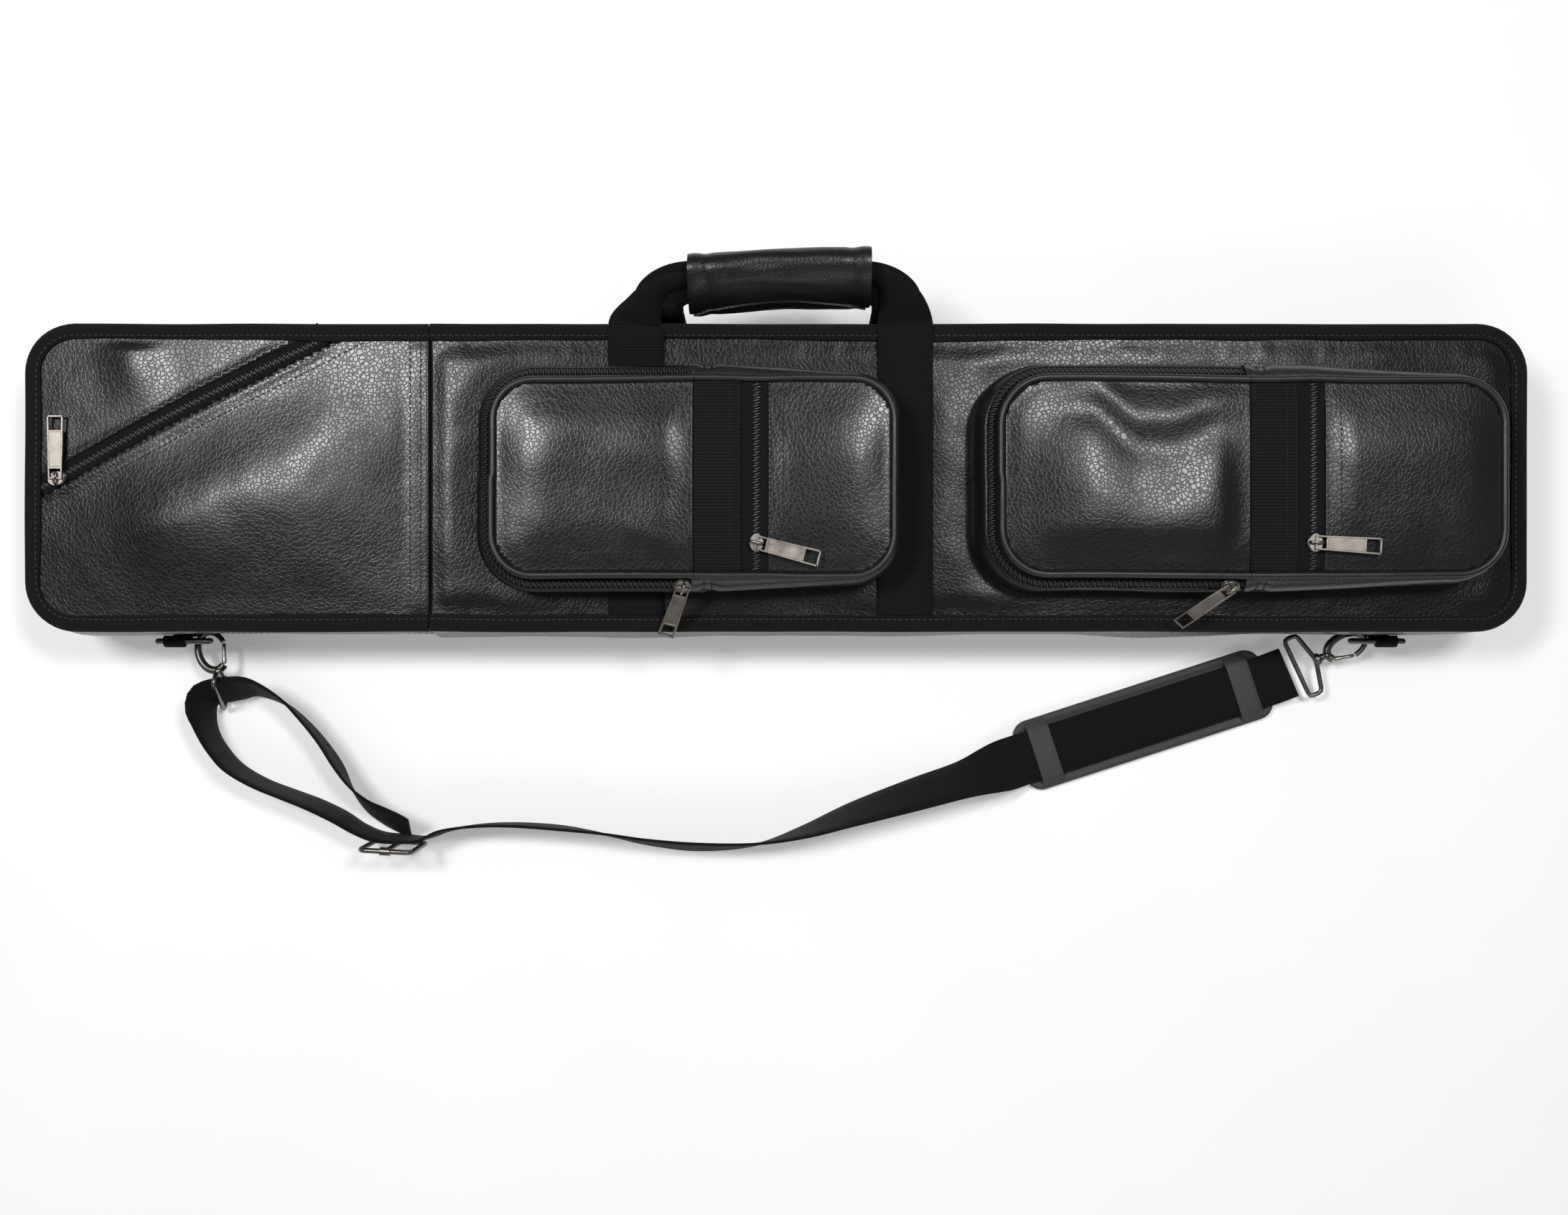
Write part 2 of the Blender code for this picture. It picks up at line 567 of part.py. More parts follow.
def build_handle():
    on = pivot("handle_pivot", HANDLE_PIVOT)
    base = HANDLE_PIVOT.yz
    reach_way = Vector((math.cos(HANDLE_LEAN), math.sin(HANDLE_LEAN)))
    half_web, half_thick = 0.0162, WEBBING_THICKNESS / 2
    left, right = STRAP_X["left"], STRAP_X["right"]
    low, high = SLEEVE_REACH - half_web, SLEEVE_REACH + half_web
    half = WEBBING_WIDTH / 2
    front_outline = [
        (left - half, 0.0008), (left - half + 0.002, 0.014), (left - half + 0.010, 0.028),
        (left - half + 0.024, 0.040), (SLEEVE_X[0] - 0.004, high), (SLEEVE_X[1] + 0.004, high),
        (right + half - 0.024, 0.040), (right + half - 0.010, 0.028), (right + half - 0.002, 0.014),
        (right + half, 0.0008), (right - half, 0.0008), (right - half - 0.002, 0.009), (SLEEVE_X[1], low),
        (SLEEVE_X[0], low), (left + half + 0.002, 0.009), (left + half, 0.0008),
    ]
    tilt = Matrix.Translation(HANDLE_PIVOT) @ Matrix.Rotation(HANDLE_LEAN, 4, "X")
    finish(plate("handle_loop_front", [front_outline], -half_thick, half_thick, tilt), "webbing", on)

    # The back loop runs up the wall from the back edge, then along the underside of the front loop.
    under = Vector((reach_way.y, -reach_way.x)) * 0.0027
    top = base + reach_way * (SLEEVE_REACH + 0.0150) + under
    turn = base + reach_way * (SLEEVE_REACH - 0.0160) + under
    profile = [(0.0922, 0.0090), (0.0922, 0.0480), (0.0945, 0.0620), tuple(turn), tuple(top)]
    shape_at, stations = along_profile(profile)
    end = stations[-1]
    band = end - 0.030
    back_outline = [
        (left + 0.026, 0.0), (left - 0.006, 0.0), (left - 0.006, band - 0.012), (left + 0.001, band + 0.008),
        (left + 0.012, end - 0.010), (SLEEVE_X[0] - 0.003, end), (SLEEVE_X[1] + 0.003, end),
        (right - 0.012, end - 0.010), (right - 0.001, band + 0.008), (right + 0.006, band - 0.012),
        (right + 0.006, 0.0), (right - 0.017, 0.0), (right - 0.017, band - 0.004), (SLEEVE_X[1] + 0.001, band),
        (SLEEVE_X[0] - 0.001, band), (left + 0.026, band - 0.004),
    ]
    back = plate("handle_loop_back", [back_outline], -half_thick, half_thick)
    finish(bent(back, stations[1:-1], shape_at), "webbing", on)

    across = Matrix(((0, 0, 1, 0), (1, 0, 0, 0), (0, 1, 0, 0), (0, 0, 0, 1)))
    centre = base + reach_way * SLEEVE_REACH
    normal = Vector((-reach_way.y, reach_way.x))

    def arc(first, last, grow, steps):
        angles = [math.radians(first + (last - first) * k / steps) for k in range(steps + 1)]
        return [
            tuple(centre + reach_way * (SLEEVE_HALF[0] + grow) * math.cos(a) + normal * (SLEEVE_HALF[1] + grow) * math.sin(a))
            for a in angles
        ]

    shell = arc(-96, 138, 0, 20) + arc(-96, 138, -SLEEVE_WALL, 20)[::-1]
    finish(plate("handle_sleeve", [shell], *SLEEVE_X, across), "leather", on, smooth=True)
    flap_hinge = arc(263, 263.1, -SLEEVE_WALL / 2, 1)[0]
    flap = arc(141, 262, 0, 12) + arc(141, 262, -SLEEVE_WALL, 12)[::-1]
    flap_on = pivot("sleeve_flap_pivot", (0, *flap_hinge), on)
    finish(plate("sleeve_flap", [flap], SLEEVE_X[0] + 0.001, SLEEVE_X[1] - 0.001, across), "leather", flap_on, smooth=True)


def build_ring(side):
    x = D_RING_X[side]
    on = pivot(f"d_ring_{side}_pivot", (x, D_RING_Y, D_RING_Z))
    steps = 12
    arc = [
        (x + D_RING_HALF * math.cos(math.pi * k / steps), D_RING_Y, D_RING_Z - D_RING_DEPTH * math.sin(math.pi * k / steps))
        for k in range(steps + 1)
    ]
    finish(wire(f"d_ring_{side}", arc, D_RING_WIRE, closed=True, sides=3), "metal", on, smooth=True)

    # The tab is webbing folded round the ring's bar and sewn flat against the binding below it.
    outer, hole = 0.0037, 0.0021
    inside_face = -CASE_WIDTH / 2 - BACK_BINDING_OUT[1] - 0.0004
    fold = [
        (D_RING_Y + outer * math.cos(a), D_RING_Z + outer * math.sin(a))
        for a in (math.radians(20 + 200 * k / 10) for k in range(11))
    ]
    outline = [*fold, (inside_face - 0.0020, 0.0150), (inside_face - 0.0020, 0.0040), (inside_face, 0.0040)]
    circle = [
        (D_RING_Y + hole * math.cos(math.tau * k / 12), D_RING_Z + hole * math.sin(math.tau * k / 12))
        for k in range(12)
    ]
    across = Matrix(((0, 0, 1, 0), (1, 0, 0, 0), (0, 1, 0, 0), (0, 0, 0, 1)))
    middle = x + TAB_SHIFT[side]
    half = TAB_WIDTH / 2
    finish(plate(f"ring_tab_{side}", [outline, circle], middle - half, middle + half, across), "webbing")


def build_hook(side):
    hook = HOOKS[side]
    way = hook["way"].normalized()
    lateral = Vector((0, 0, 1)).cross(way).normalized()
    half, reach = hook["half"], CLAW_LENGTH / 2

    def at(degrees):
        a = math.radians(degrees)
        return hook["tip"] + way * (reach - reach * math.cos(a)) + lateral * half * math.sin(a)

    swivel = pivot(f"{side}_hook_pivot", hook["tip"] + way * POST_END)
    claw = wire(f"{side}_hook", [at(75 - 285 * k / 20) for k in range(21)], CLAW_WIRE, sides=3)
    post = rod(f"{side}_hook_post", at(180) - way * 0.0008, hook["tip"] + way * POST_END, 0.0024)
    finish(combine(claw, post, "UNION"), "metal", swivel, smooth=True)

    start, end = at(148), at(80)
    run = (end - start).normalized()
    gate_on = pivot(f"{side}_gate_pivot", start, swivel)
    finish(rod(f"{side}_gate", start + run * 0.0006, end - run * 0.0002, GATE_WIRE, 10), "metal", gate_on, smooth=True)

    # The eye: a collar on the post, and a wire frame whose far bar the webbing turns round.
    bar, bar_way = hook["bar"], hook["bar_way"].normalized()
    neck = hook["tip"] + way * (COLLAR_END - 0.0010)
    back = neck - bar
    back = (back - bar_way * back.dot(bar_way)).normalized()
    a, b = bar + bar_way * EYE_HALF, bar - bar_way * EYE_HALF
    frame = [neck, a + back * EYE_SHOULDER, a, b, b + back * EYE_SHOULDER]
    eye = wire(f"{side}_hook_eye", frame, 0.0014, closed=True, sides=2)
    collar = rod(f"{side}_hook_collar", hook["tip"] + way * COLLAR_START, hook["tip"] + way * COLLAR_END, 0.0037)
    finish(combine(eye, collar, "UNION"), "metal", smooth=True)


def strap_points():
    """x, y, z and lean along the webbing: it stands on its edge on the floor, or lies over the pad."""
    half, thick = WEBBING_WIDTH / 2, STRAP_THICKNESS / 2
    route = []
    for x, y, lean, lift in STRAP_ROUTE:
        a = math.radians(abs(lean))
        z = STRAP_CLEARANCE + half * math.cos(a) + thick * math.sin(a) + lift
        route.append((x, y, z, lean))
    return smooth_path(route, 80)


def build_strap():
    curve = bpy.data.curves.new("shoulder_strap", "CURVE")
    curve.dimensions = "3D"
    curve.twist_mode = "Z_UP"
    curve.bevel_depth = STRAP_THICKNESS / 2
    curve.extrude = (WEBBING_WIDTH - STRAP_THICKNESS) / 2
    curve.bevel_resolution = 0
    curve.use_fill_caps = True
    points = strap_points()
    spline = curve.splines.new("POLY")
    spline.points.add(len(points) - 1)
    for point, (x, y, z, lean) in zip(spline.points, points):
        point.co = (x, y, z, 1)
        point.tilt = math.radians(lean)
    made = bpy.data.objects.new("shoulder_strap", curve)
    PARTS.objects.link(made)
    finish(meshed(made, "shoulder_strap"), "webbing")

    length, height, thick = BUCKLE_SIZE
    windows = []
    for first in (BUCKLE_BAR, (length + BUCKLE_BAR) / 2):
        last = first + (length - 3 * BUCKLE_BAR) / 2
        windows.append([
            (first - length / 2, -height / 2 + BUCKLE_BAR), (last - length / 2, -height / 2 + BUCKLE_BAR),
            (last - length / 2, height / 2 - BUCKLE_BAR), (first - length / 2, height / 2 - BUCKLE_BAR),
        ])
    frame = rounded((-length / 2, length / 2, -height / 2, height / 2, 0.004), 0, 3)
    heading = (math.cos(BUCKLE_HEADING), math.sin(BUCKLE_HEADING), 0)
    place = frame_of(BUCKLE_CENTRE, heading, (math.sin(BUCKLE_HEADING), -math.cos(BUCKLE_HEADING), 0))
    on = pivot("slide_buckle_slide", BUCKLE_CENTRE)
    finish(plate("slide_buckle", [frame, *windows], -thick / 2, thick / 2, place), "metal", on)

    length, width, thick = PAD_SIZE
    place = Matrix.Translation(PAD_START) @ Matrix.Rotation(PAD_HEADING, 4, "Z")
    outline = rounded((0, length, -width / 2, width / 2, 0.010), 0, 4)
    on = pivot("shoulder_pad_slide", PAD_START)
    finish(plate("shoulder_pad", [outline], PAD_FLOOR_GAP, PAD_FLOOR_GAP + thick, place), "pad", on)


build_body()
build_lid()
shaft_low = BACK_THICKNESS + 2 * GAP + BUTT_TUBES[0]
build_tubes("butt_tube_bank", BUTT_TUBES, BACK_THICKNESS + GAP)
build_tubes("shaft_tube_bank", SHAFT_TUBES, shaft_low)
build_front_straps()
for pocket in POCKETS:
    build_pocket(pocket)
for zip_name in ZIPS:
    build_zip(zip_name, "lid_pivot" if zip_name == "diagonal" else None)
build_handle()
for hook_side in HOOKS:
    build_ring(hook_side)
    build_hook(hook_side)
build_strap()
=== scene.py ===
"""Looks for the cue case: soft leatherette panels, binding, zips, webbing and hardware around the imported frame."""

import math

import bmesh
import bpy
from mathutils import Matrix, Vector, noise


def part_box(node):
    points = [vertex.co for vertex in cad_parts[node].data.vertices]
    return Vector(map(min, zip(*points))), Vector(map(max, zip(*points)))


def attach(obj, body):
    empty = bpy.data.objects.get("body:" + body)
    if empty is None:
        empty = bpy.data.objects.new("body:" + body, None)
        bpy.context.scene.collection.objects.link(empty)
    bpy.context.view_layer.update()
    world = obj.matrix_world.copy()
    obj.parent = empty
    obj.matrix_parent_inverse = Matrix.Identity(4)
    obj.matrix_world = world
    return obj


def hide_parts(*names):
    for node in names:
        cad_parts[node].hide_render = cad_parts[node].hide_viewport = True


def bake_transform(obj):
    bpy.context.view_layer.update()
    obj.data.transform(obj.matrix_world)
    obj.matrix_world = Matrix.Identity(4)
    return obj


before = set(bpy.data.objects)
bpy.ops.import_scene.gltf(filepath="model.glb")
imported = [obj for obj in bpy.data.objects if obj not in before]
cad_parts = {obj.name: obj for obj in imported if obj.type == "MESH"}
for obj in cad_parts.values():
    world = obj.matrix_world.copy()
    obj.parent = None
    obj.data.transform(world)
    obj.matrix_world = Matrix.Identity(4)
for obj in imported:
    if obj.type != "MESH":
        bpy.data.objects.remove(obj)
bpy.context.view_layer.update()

Z_AXIS = Vector((0, 0, 1))
MM = 0.001


# ---------------------------------------------------------------- numbers
def box(node):
    low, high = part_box(node)
    return Vector(low), Vector(high)


def grown(node, out, radius):
    """The rounded rectangle of a node whose outline was offset by out: x0, x1, y0, y1, corner radius."""
    low, high = box(node)
    return (low.x + out, high.x - out, low.y + out, high.y - out, radius)


CASE = grown("case_wall", 0.0015, 0.027)
SEAM_X = box("lid_wall")[1].x
FRONT_TOP = box("front_panel")[1].z
BACK_TOP = box("back_panel")[1].z
MAIN_ZIP_Z = sum(corner.z for corner in box("main_zip_chain")) / 2
BINDING_WIDTH = 7.6 * MM
BINDING_EDGE = ((-2.0, 1.5), (0.2, 1.25), (1.5, 0.2), (2.1, -1.8), (2.15, -5.5), (1.7, -7.0), (0.6, -6.6), (-1.0, -1.5))
WALL_TOP = 63.4 * MM
ZIP_BOW = 2.2 * MM
ZIP_START, ZIP_END = Vector((-0.421, -0.004)), Vector((-0.270, 0.076))
ZIP_WAY = (ZIP_END - ZIP_START).normalized()
ZIP_ACROSS = Vector((-ZIP_WAY.y, ZIP_WAY.x))
STRAP_X = (-0.0807, 0.0745)
WEB_HALF, WEB_THICK = 16 * MM, 1.7 * MM
POCKETS = {
    name: grown(f"{name}_pocket_wall", -0.0003, radius) for name, radius in (("mid", 0.025), ("large", 0.028))
}
FACE_TOP = box("mid_web_strip")[1].z
POCKET_ZIP_Z, LEAN_OUT, LEAN_UP = 87.9 * MM, 0.62, 0.78
PIPING_Z, PIPING_R = 95.6 * MM, 2.05 * MM

STRAP_ROUTE = (
    (-0.2240, -0.2098, 28, 0.0), (-0.2300, -0.2070, 30, 0.0), (-0.2390, -0.2025, 29, 0.0),
    (-0.2495, -0.1960, 24, 0.0),
    (-0.2590, -0.1855, 16, 0.0), (-0.2670, -0.1720, 8, 0.0), (-0.2770, -0.1570, 9, 0.0),
    (-0.2890, -0.1430, 11, 0.0), (-0.3010, -0.1320, 15, 0.001), (-0.3170, -0.1240, 22, 0.003),
    (-0.3280, -0.1240, 27, 0.005), (-0.3377, -0.1256, 28, 0.0055), (-0.3450, -0.1282, 25, 0.0045),
    (-0.3485, -0.1345, 16, 0.003), (-0.3485, -0.1425, 6, 0.001), (-0.3462, -0.1520, 1, 0.0),
    (-0.3405, -0.1618, 0, 0.0), (-0.3310, -0.1725, 0, 0.0), (-0.3155, -0.1818, 0, 0.0),
    (-0.2980, -0.1888, 1, 0.0), (-0.2825, -0.1948, 2, 0.0), (-0.2670, -0.2022, 2, 0.0),
    (-0.2550, -0.2095, 0, 0.0), (-0.2430, -0.2145, 0, 0.0), (-0.2300, -0.2160, 0, 0.0),
    (-0.2150, -0.2160, -4, 0.0), (-0.2020, -0.2110, -7, 0.0), (-0.1820, -0.2080, -6, 0.0),
    (-0.1590, -0.2075, -5, 0.0), (-0.1310, -0.2095, -5, 0.0), (-0.1035, -0.2135, -10, 0.0),
    (-0.0790, -0.2180, -14, 0.0), (-0.0480, -0.2210, -16, 0.0), (-0.0140, -0.2195, -10, 0.0),
    (0.0160, -0.2120, 4, 0.0), (0.0470, -0.2010, 18, 0.0), (0.0850, -0.1890, 30, 0.0),
    (0.1150, -0.1800, 38, 0.0), (0.1320, -0.1745, 58, 0.0020), (0.1450, -0.1705, 84, 0.0052),
    (0.1580, -0.1665, 90, 0.0052), (0.1750, -0.1612, 90, 0.0052), (0.2300, -0.1433, 90, 0.0052),
    (0.2850, -0.1254, 90, 0.0052), (0.3020, -0.1198, 90, 0.0060), (0.3145, -0.1147, 90, 0.0090),
)
STRAP_THICK, STRAP_CLEARANCE = 1.6 * MM, 0.6 * MM
PAD_START, PAD_HEADING = Vector((0.1505, -0.1692, 0.0)), math.radians(18)
BUCKLE_CENTRE, BUCKLE_HEADING = Vector((-0.2325, -0.2200, 0.0205)), math.radians(-3)

HANDLE_BASE, HANDLE_LEAN = Vector((0.0, 0.0883, 0.0634)), math.radians(50)
REACH = Vector((0, math.cos(HANDLE_LEAN), math.sin(HANDLE_LEAN)))
FACING = Vector((0, -math.sin(HANDLE_LEAN), math.cos(HANDLE_LEAN)))
SLEEVE_X = (-0.049, 0.053)
SLEEVE_REACH = 0.031
HANDLE_FOOT_Y = 0.0765
BACK_LOOP_LIFT = -2.9 * MM

HOOKS = {
    "left": (Vector((-0.3484, -0.0907, 0.0143)), Vector((0.357, -0.924, 0.138)), 0.0085,
             Vector((-0.3378, -0.1296, 0.0224)), Vector((0.168, 0.440, 0.882))),
    "right": (Vector((0.3588, -0.0938, 0.0155)), Vector((-0.900, -0.420, -0.100)), 0.0072,
              Vector((0.3192, -0.1125, 0.0110)), Vector((-0.423, 0.906, 0.0))),
}
RINGS = {"left": (-0.357, -0.0048), "right": (0.362, 0.0048)}
RING_Y, RING_Z = -0.0953, 0.028

ZIPS = {
    "diagonal": (Vector((-0.4145, -0.0005, 0.0632)), (0.883, 0.469, 0), (0, 0, 1), (0, 1, 0)),
    "main": (Vector((-0.215, 0.0884, 0.0141)), (-1, 0, 0), (0, 1, 0), (1, 0, 0)),
    "mid_face": (Vector((-0.0106, -0.039, 0.0966)), (0, 1, 0), (0, 0, 1), (0.968, -0.252, 0)),
    "mid_side": (Vector((-0.0520, -0.0618, 0.0879)), (-1, 0, 0), (0, -0.62, 0.78), (-0.33, -0.78, -0.62)),
    "large_face": (Vector((0.2989, -0.039, 0.0966)), (0, 1, 0), (0, 0, 1), (0.998, -0.063, 0)),
    "large_side": (Vector((0.2545, -0.0618, 0.0879)), (-1, 0, 0), (0, -0.62, 0.78), (-1.0, -0.78, -0.62)),
}


# ---------------------------------------------------------------- camera and lights
def link(made):
    bpy.context.scene.collection.objects.link(made)
    return made


def add_camera():
    data = bpy.data.cameras.new("camera")
    data.lens, data.sensor_width = 33.8, 36
    data.clip_start = 0.01
    camera = bpy.data.objects.new("camera", data)
    camera.location = (0.0046, -0.075, 0.914)
    bpy.context.scene.camera = link(camera)


def add_light(name, place, target, size, power):
    data = bpy.data.lights.new(name, "AREA")
    data.shape = "RECTANGLE"
    data.size, data.size_y = size
    data.energy = power
    light = bpy.data.objects.new(name, data)
    light.location = place
    light.rotation_euler = (Vector(target) - Vector(place)).to_track_quat("-Z", "Y").to_euler()
    link(light)


def add_world():
    world = bpy.data.worlds.new("studio")
    world.use_nodes = True
    background = world.node_tree.nodes["Background"]
    background.inputs["Color"].default_value = (0.98, 0.99, 1.0, 1)
    background.inputs["Strength"].default_value = 0.17
    bpy.context.scene.world = world
    bpy.context.scene.view_settings.view_transform = "Standard"


# ---------------------------------------------------------------- materials
class Nodes:
    """Builds one material's node tree."""

    def __init__(self, name):
        self.material = bpy.data.materials.new(name)
        self.material.use_nodes = True
        self.tree = self.material.node_tree
        self.shader = self.tree.nodes["Principled BSDF"]
        self.coordinates = self.tree.nodes.new("ShaderNodeTexCoord")

    def set(self, **sockets):
        for key, value in sockets.items():
            self.shader.inputs[key.replace("_", " ")].default_value = value
        return self

    def put(self, kind, inputs=(), **settings):
        node = self.tree.nodes.new(kind)
        for key, value in settings.items():
            setattr(node, key, value)
        for key, value in inputs:
            if isinstance(value, bpy.types.NodeSocket):
                self.tree.links.new(value, node.inputs[key])
            else:
                node.inputs[key].default_value = value
        return node

    def maths(self, operation, *values):
        return self.put("ShaderNodeMath", enumerate(values), operation=operation).outputs[0]

    def mixed(self, first, share, second, rest):
        return self.maths("ADD", self.maths("MULTIPLY", first, share), self.maths("MULTIPLY", second, rest))

    def noise(self, scale, detail=3):
        made = self.put("ShaderNodeTexNoise", [
            ("Vector", self.coordinates.outputs["Object"]), ("Scale", scale), ("Detail", detail), ("Roughness", 0.55),
        ])
        return made.outputs[0]

    def spread(self, value, low, high, to_low=0.0, to_high=1.0):
        made = self.put("ShaderNodeMapRange", [
            ("Value", value), ("From Min", low), ("From Max", high), ("To Min", to_low), ("To Max", to_high),
        ])
        return made.outputs[0]

    def colour(self, value, stops):
        ramp = self.put("ShaderNodeValToRGB", [("Fac", value)])
        for element, (place, tint) in zip(ramp.color_ramp.elements, (stops[0], stops[-1])):
            element.position, element.color = place, (*tint, 1)
        for place, tint in stops[1:-1]:
            ramp.color_ramp.elements.new(place).color = (*tint, 1)
        self.tree.links.new(ramp.outputs[0], self.shader.inputs["Base Color"])

    def rough(self, value):
        self.tree.links.new(value, self.shader.inputs["Roughness"])

    def bump(self, *layers):
        """Each layer is (height, metres of relief)."""
        normal = None
        for height, relief in layers:
            inputs = [("Height", height), ("Distance", relief), ("Strength", 1.0)]
            if normal:
                inputs.append(("Normal", normal))
            normal = self.put("ShaderNodeBump", inputs).outputs[0]
        self.tree.links.new(normal, self.shader.inputs["Normal"])


def shade(tint, factor):
    return tuple(channel * factor for channel in tint)


def leather(name, tint, grain=1.0, gloss=0.22, shine=0.45):
    """Pebbled leatherette: flat-topped cells with fine grooves, and a slow change of colour and gloss."""
    m = Nodes(name).set(Specular_IOR_Level=shine)
    place = m.coordinates.outputs["Object"]
    warp = m.put("ShaderNodeTexNoise", [("Vector", place), ("Scale", 300.0), ("Detail", 2.0)])
    moved = m.put("ShaderNodeVectorMath", [(0, warp.outputs["Color"]), (1, (0.5, 0.5, 0.5))], operation="SUBTRACT")
    moved = m.put("ShaderNodeVectorMath", [(0, moved.outputs[0]), ("Scale", 0.0022)], operation="SCALE")
    moved = m.put("ShaderNodeVectorMath", [(0, place), (1, moved.outputs[0])], operation="ADD")
    pattern = [("Vector", moved.outputs[0]), ("Scale", 430.0 / grain)]
    cells = m.put("ShaderNodeTexVoronoi", pattern, feature="DISTANCE_TO_EDGE")
    domes = m.put("ShaderNodeTexVoronoi", pattern)
    top = m.put("ShaderNodeMapRange", [
        ("Value", cells.outputs["Distance"]), ("From Min", 0.0), ("From Max", 0.16),
    ], interpolation_type="SMOOTHSTEP").outputs[0]
    rounded = m.spread(domes.outputs["Distance"], 0.0, 0.8, 1.0, 0.0)
    height = m.mixed(top, 0.65, rounded, 0.35)
    broad = m.noise(22, 4)
    # The colour is darker in the grain's grooves than on its cell tops, which is painted shade in the grooves. It also
    # wanders with a slow random tone from the broad noise.
    m.colour(m.mixed(top, 0.5, broad, 0.5), [(0.15, shade(tint, 0.6)), (0.5, tint), (0.95, shade(tint, 1.2))])
    wear = m.maths("MULTIPLY", m.spread(broad, 0.3, 0.7), 0.05)
    m.rough(m.maths("ADD", m.spread(top, 0.0, 1.0, gloss + 0.12, gloss), wear))
    m.bump((m.noise(1500, 2), 0.000002), (height, 0.000050), (m.noise(45, 2), 0.00009))
    return m.material


def ribbed(name, tint, along, across, relief, rough):
    """Woven webbing or grosgrain: weft ribs across the tape and warp threads along it, from UVs in metres."""
    m = Nodes(name).set(Specular_IOR_Level=0.15, Sheen_Weight=0.03, Sheen_Roughness=0.5)
    split = m.put("ShaderNodeSeparateXYZ", [("Vector", m.coordinates.outputs["UV"])])
    u, v = split.outputs[0], split.outputs[1]
    jitter = m.maths("MULTIPLY", m.noise(300, 2), 0.0006)
    ribs = m.maths("SINE", m.maths("MULTIPLY", m.maths("ADD", u, jitter), math.tau / along))
    warps = m.maths("SINE", m.maths("MULTIPLY", v, math.tau / across))
    half = m.maths("SINE", m.maths("MULTIPLY", u, math.pi / along))
    woven = m.maths("MULTIPLY", warps, half)
    height = m.maths("ADD", m.spread(ribs, -1, 1), m.maths("MULTIPLY", m.spread(woven, -1, 1), 0.6))
    lint = m.noise(1300, 3)
    # The colour follows the weave's relief: painted shade darkens the hollows between ribs and threads, and a painted
    # highlight lightens their crests. The lint noise adds a random tone.
    m.colour(m.mixed(height, 0.35, lint, 0.45), [(0.15, shade(tint, 0.35)), (0.5, tint), (0.9, shade(tint, 2.4))])
    m.rough(m.spread(lint, 0.2, 0.8, rough - 0.08, min(rough + 0.1, 1.0)))
    m.bump((height, relief), (lint, 0.00004), (m.noise(60, 2), 0.0004))
    return m.material


def metal(name, tint, rough):
    m = Nodes(name).set(Metallic=1.0)
    fine = m.noise(700, 4)
    smudge = m.noise(160, 3)
    m.colour(m.mixed(fine, 0.4, smudge, 0.6), [(0.25, shade(tint, 0.75)), (0.5, tint), (0.8, shade(tint, 1.15))])
    m.rough(m.spread(smudge, 0.25, 0.75, rough - 0.05, rough + 0.10))
    m.bump((fine, 0.00001))
    return m.material


def plain(name, tint, rough, grain, relief, specular):
    m = Nodes(name).set(Specular_IOR_Level=specular)
    fine = m.noise(grain, 3)
    m.colour(fine, [(0.25, shade(tint, 0.7)), (0.5, tint), (0.8, shade(tint, 1.3))])
    m.rough(m.spread(m.noise(90, 3), 0.25, 0.75, rough - 0.06, rough + 0.08))
    m.bump((fine, relief))
    return m.material


def floor_material():
    white = (1, 1, 1, 1)
    m = Nodes("floor").set(Specular_IOR_Level=0.2, Roughness=0.85, Emission_Color=white, Emission_Strength=0.22)
    m.colour(m.noise(6, 3), [(0.2, (0.90, 0.90, 0.90)), (0.8, (0.93, 0.93, 0.93))])
    return m.material


MATERIALS = {
    "leather": leather("leather_main", (0.0056, 0.0057, 0.0059), shine=0.42),
    "leather_front": leather("leather_front", (0.0062, 0.0063, 0.0065), shine=0.31),
    "leather_mid": leather("leather_mid_pocket", (0.0086, 0.0095, 0.0096)),
    "leather_large": leather("leather_large_pocket", (0.0094, 0.0087, 0.0090), shine=0.42),
    "leather_smooth": leather("leather_rolled", (0.0058, 0.0059, 0.0063), 0.8, 0.26),
    # The welt is the rolled leather with a tint about twice as light, which is painted light for the lit roll, and a
    # higher specular level.
    "leather_welt_painted_light": leather("leather_welt_painted_light", (0.0110, 0.0112, 0.0116), 0.8, 0.24, 0.8),
    "piping": plain("piping_leather", (0.0105, 0.0108, 0.0112), 0.40, 500.0, 0.00005, 0.5),
    "binding": ribbed("grosgrain", (0.0088, 0.0074, 0.0070), 1.5 * MM, 1.3 * MM, 0.00030, 0.85),
    "webbing": ribbed("webbing", (0.0052, 0.0053, 0.0062), 1.5 * MM, 2.0 * MM, 0.00022, 0.78),
    "strip": ribbed("ribbed_strip", (0.0085, 0.0082, 0.0082), 1.8 * MM, 2.2 * MM, 0.00035, 0.80),
    "tape": ribbed("zip_tape", (0.0058, 0.0058, 0.0066), 0.7 * MM, 0.7 * MM, 0.00005, 0.85),
    "teeth": plain("zip_teeth", (0.036, 0.036, 0.038), 0.42, 1500.0, 0.00001, 0.6),
    "thread": plain("thread", (0.0030, 0.0030, 0.0033), 0.5, 3000.0, 0.00004, 0.5),
    "metal": metal("gunmetal", (0.33, 0.30, 0.265), 0.33),
    "dark_metal": metal("dark_nickel", (0.17, 0.16, 0.15), 0.30),
    "rubber": plain("pad_rubber", (0.046, 0.050, 0.051), 0.62, 1400.0, 0.00006, 0.4),
    "tube": plain("tube_plastic", (0.035, 0.035, 0.036), 0.45, 300.0, 0.00002, 0.5),
}
SHARP_EDGE, BEVEL_EDGE = math.radians(50), math.radians(35)


# ---------------------------------------------------------------- mesh helpers
def piece(name, verts, corners, material, body, stands_for=(), uvs=None):
    mesh = bpy.data.meshes.new(name)
    mesh.from_pydata([tuple(v) for v in verts], [], corners)
    if uvs:
        layer = mesh.uv_layers.new(name="UVMap")
        for loop, uv in zip(layer.data, (uv for face in uvs for uv in face)):
            loop.uv = uv
    return settle(link(bpy.data.objects.new(name, mesh)), material, body, stands_for)


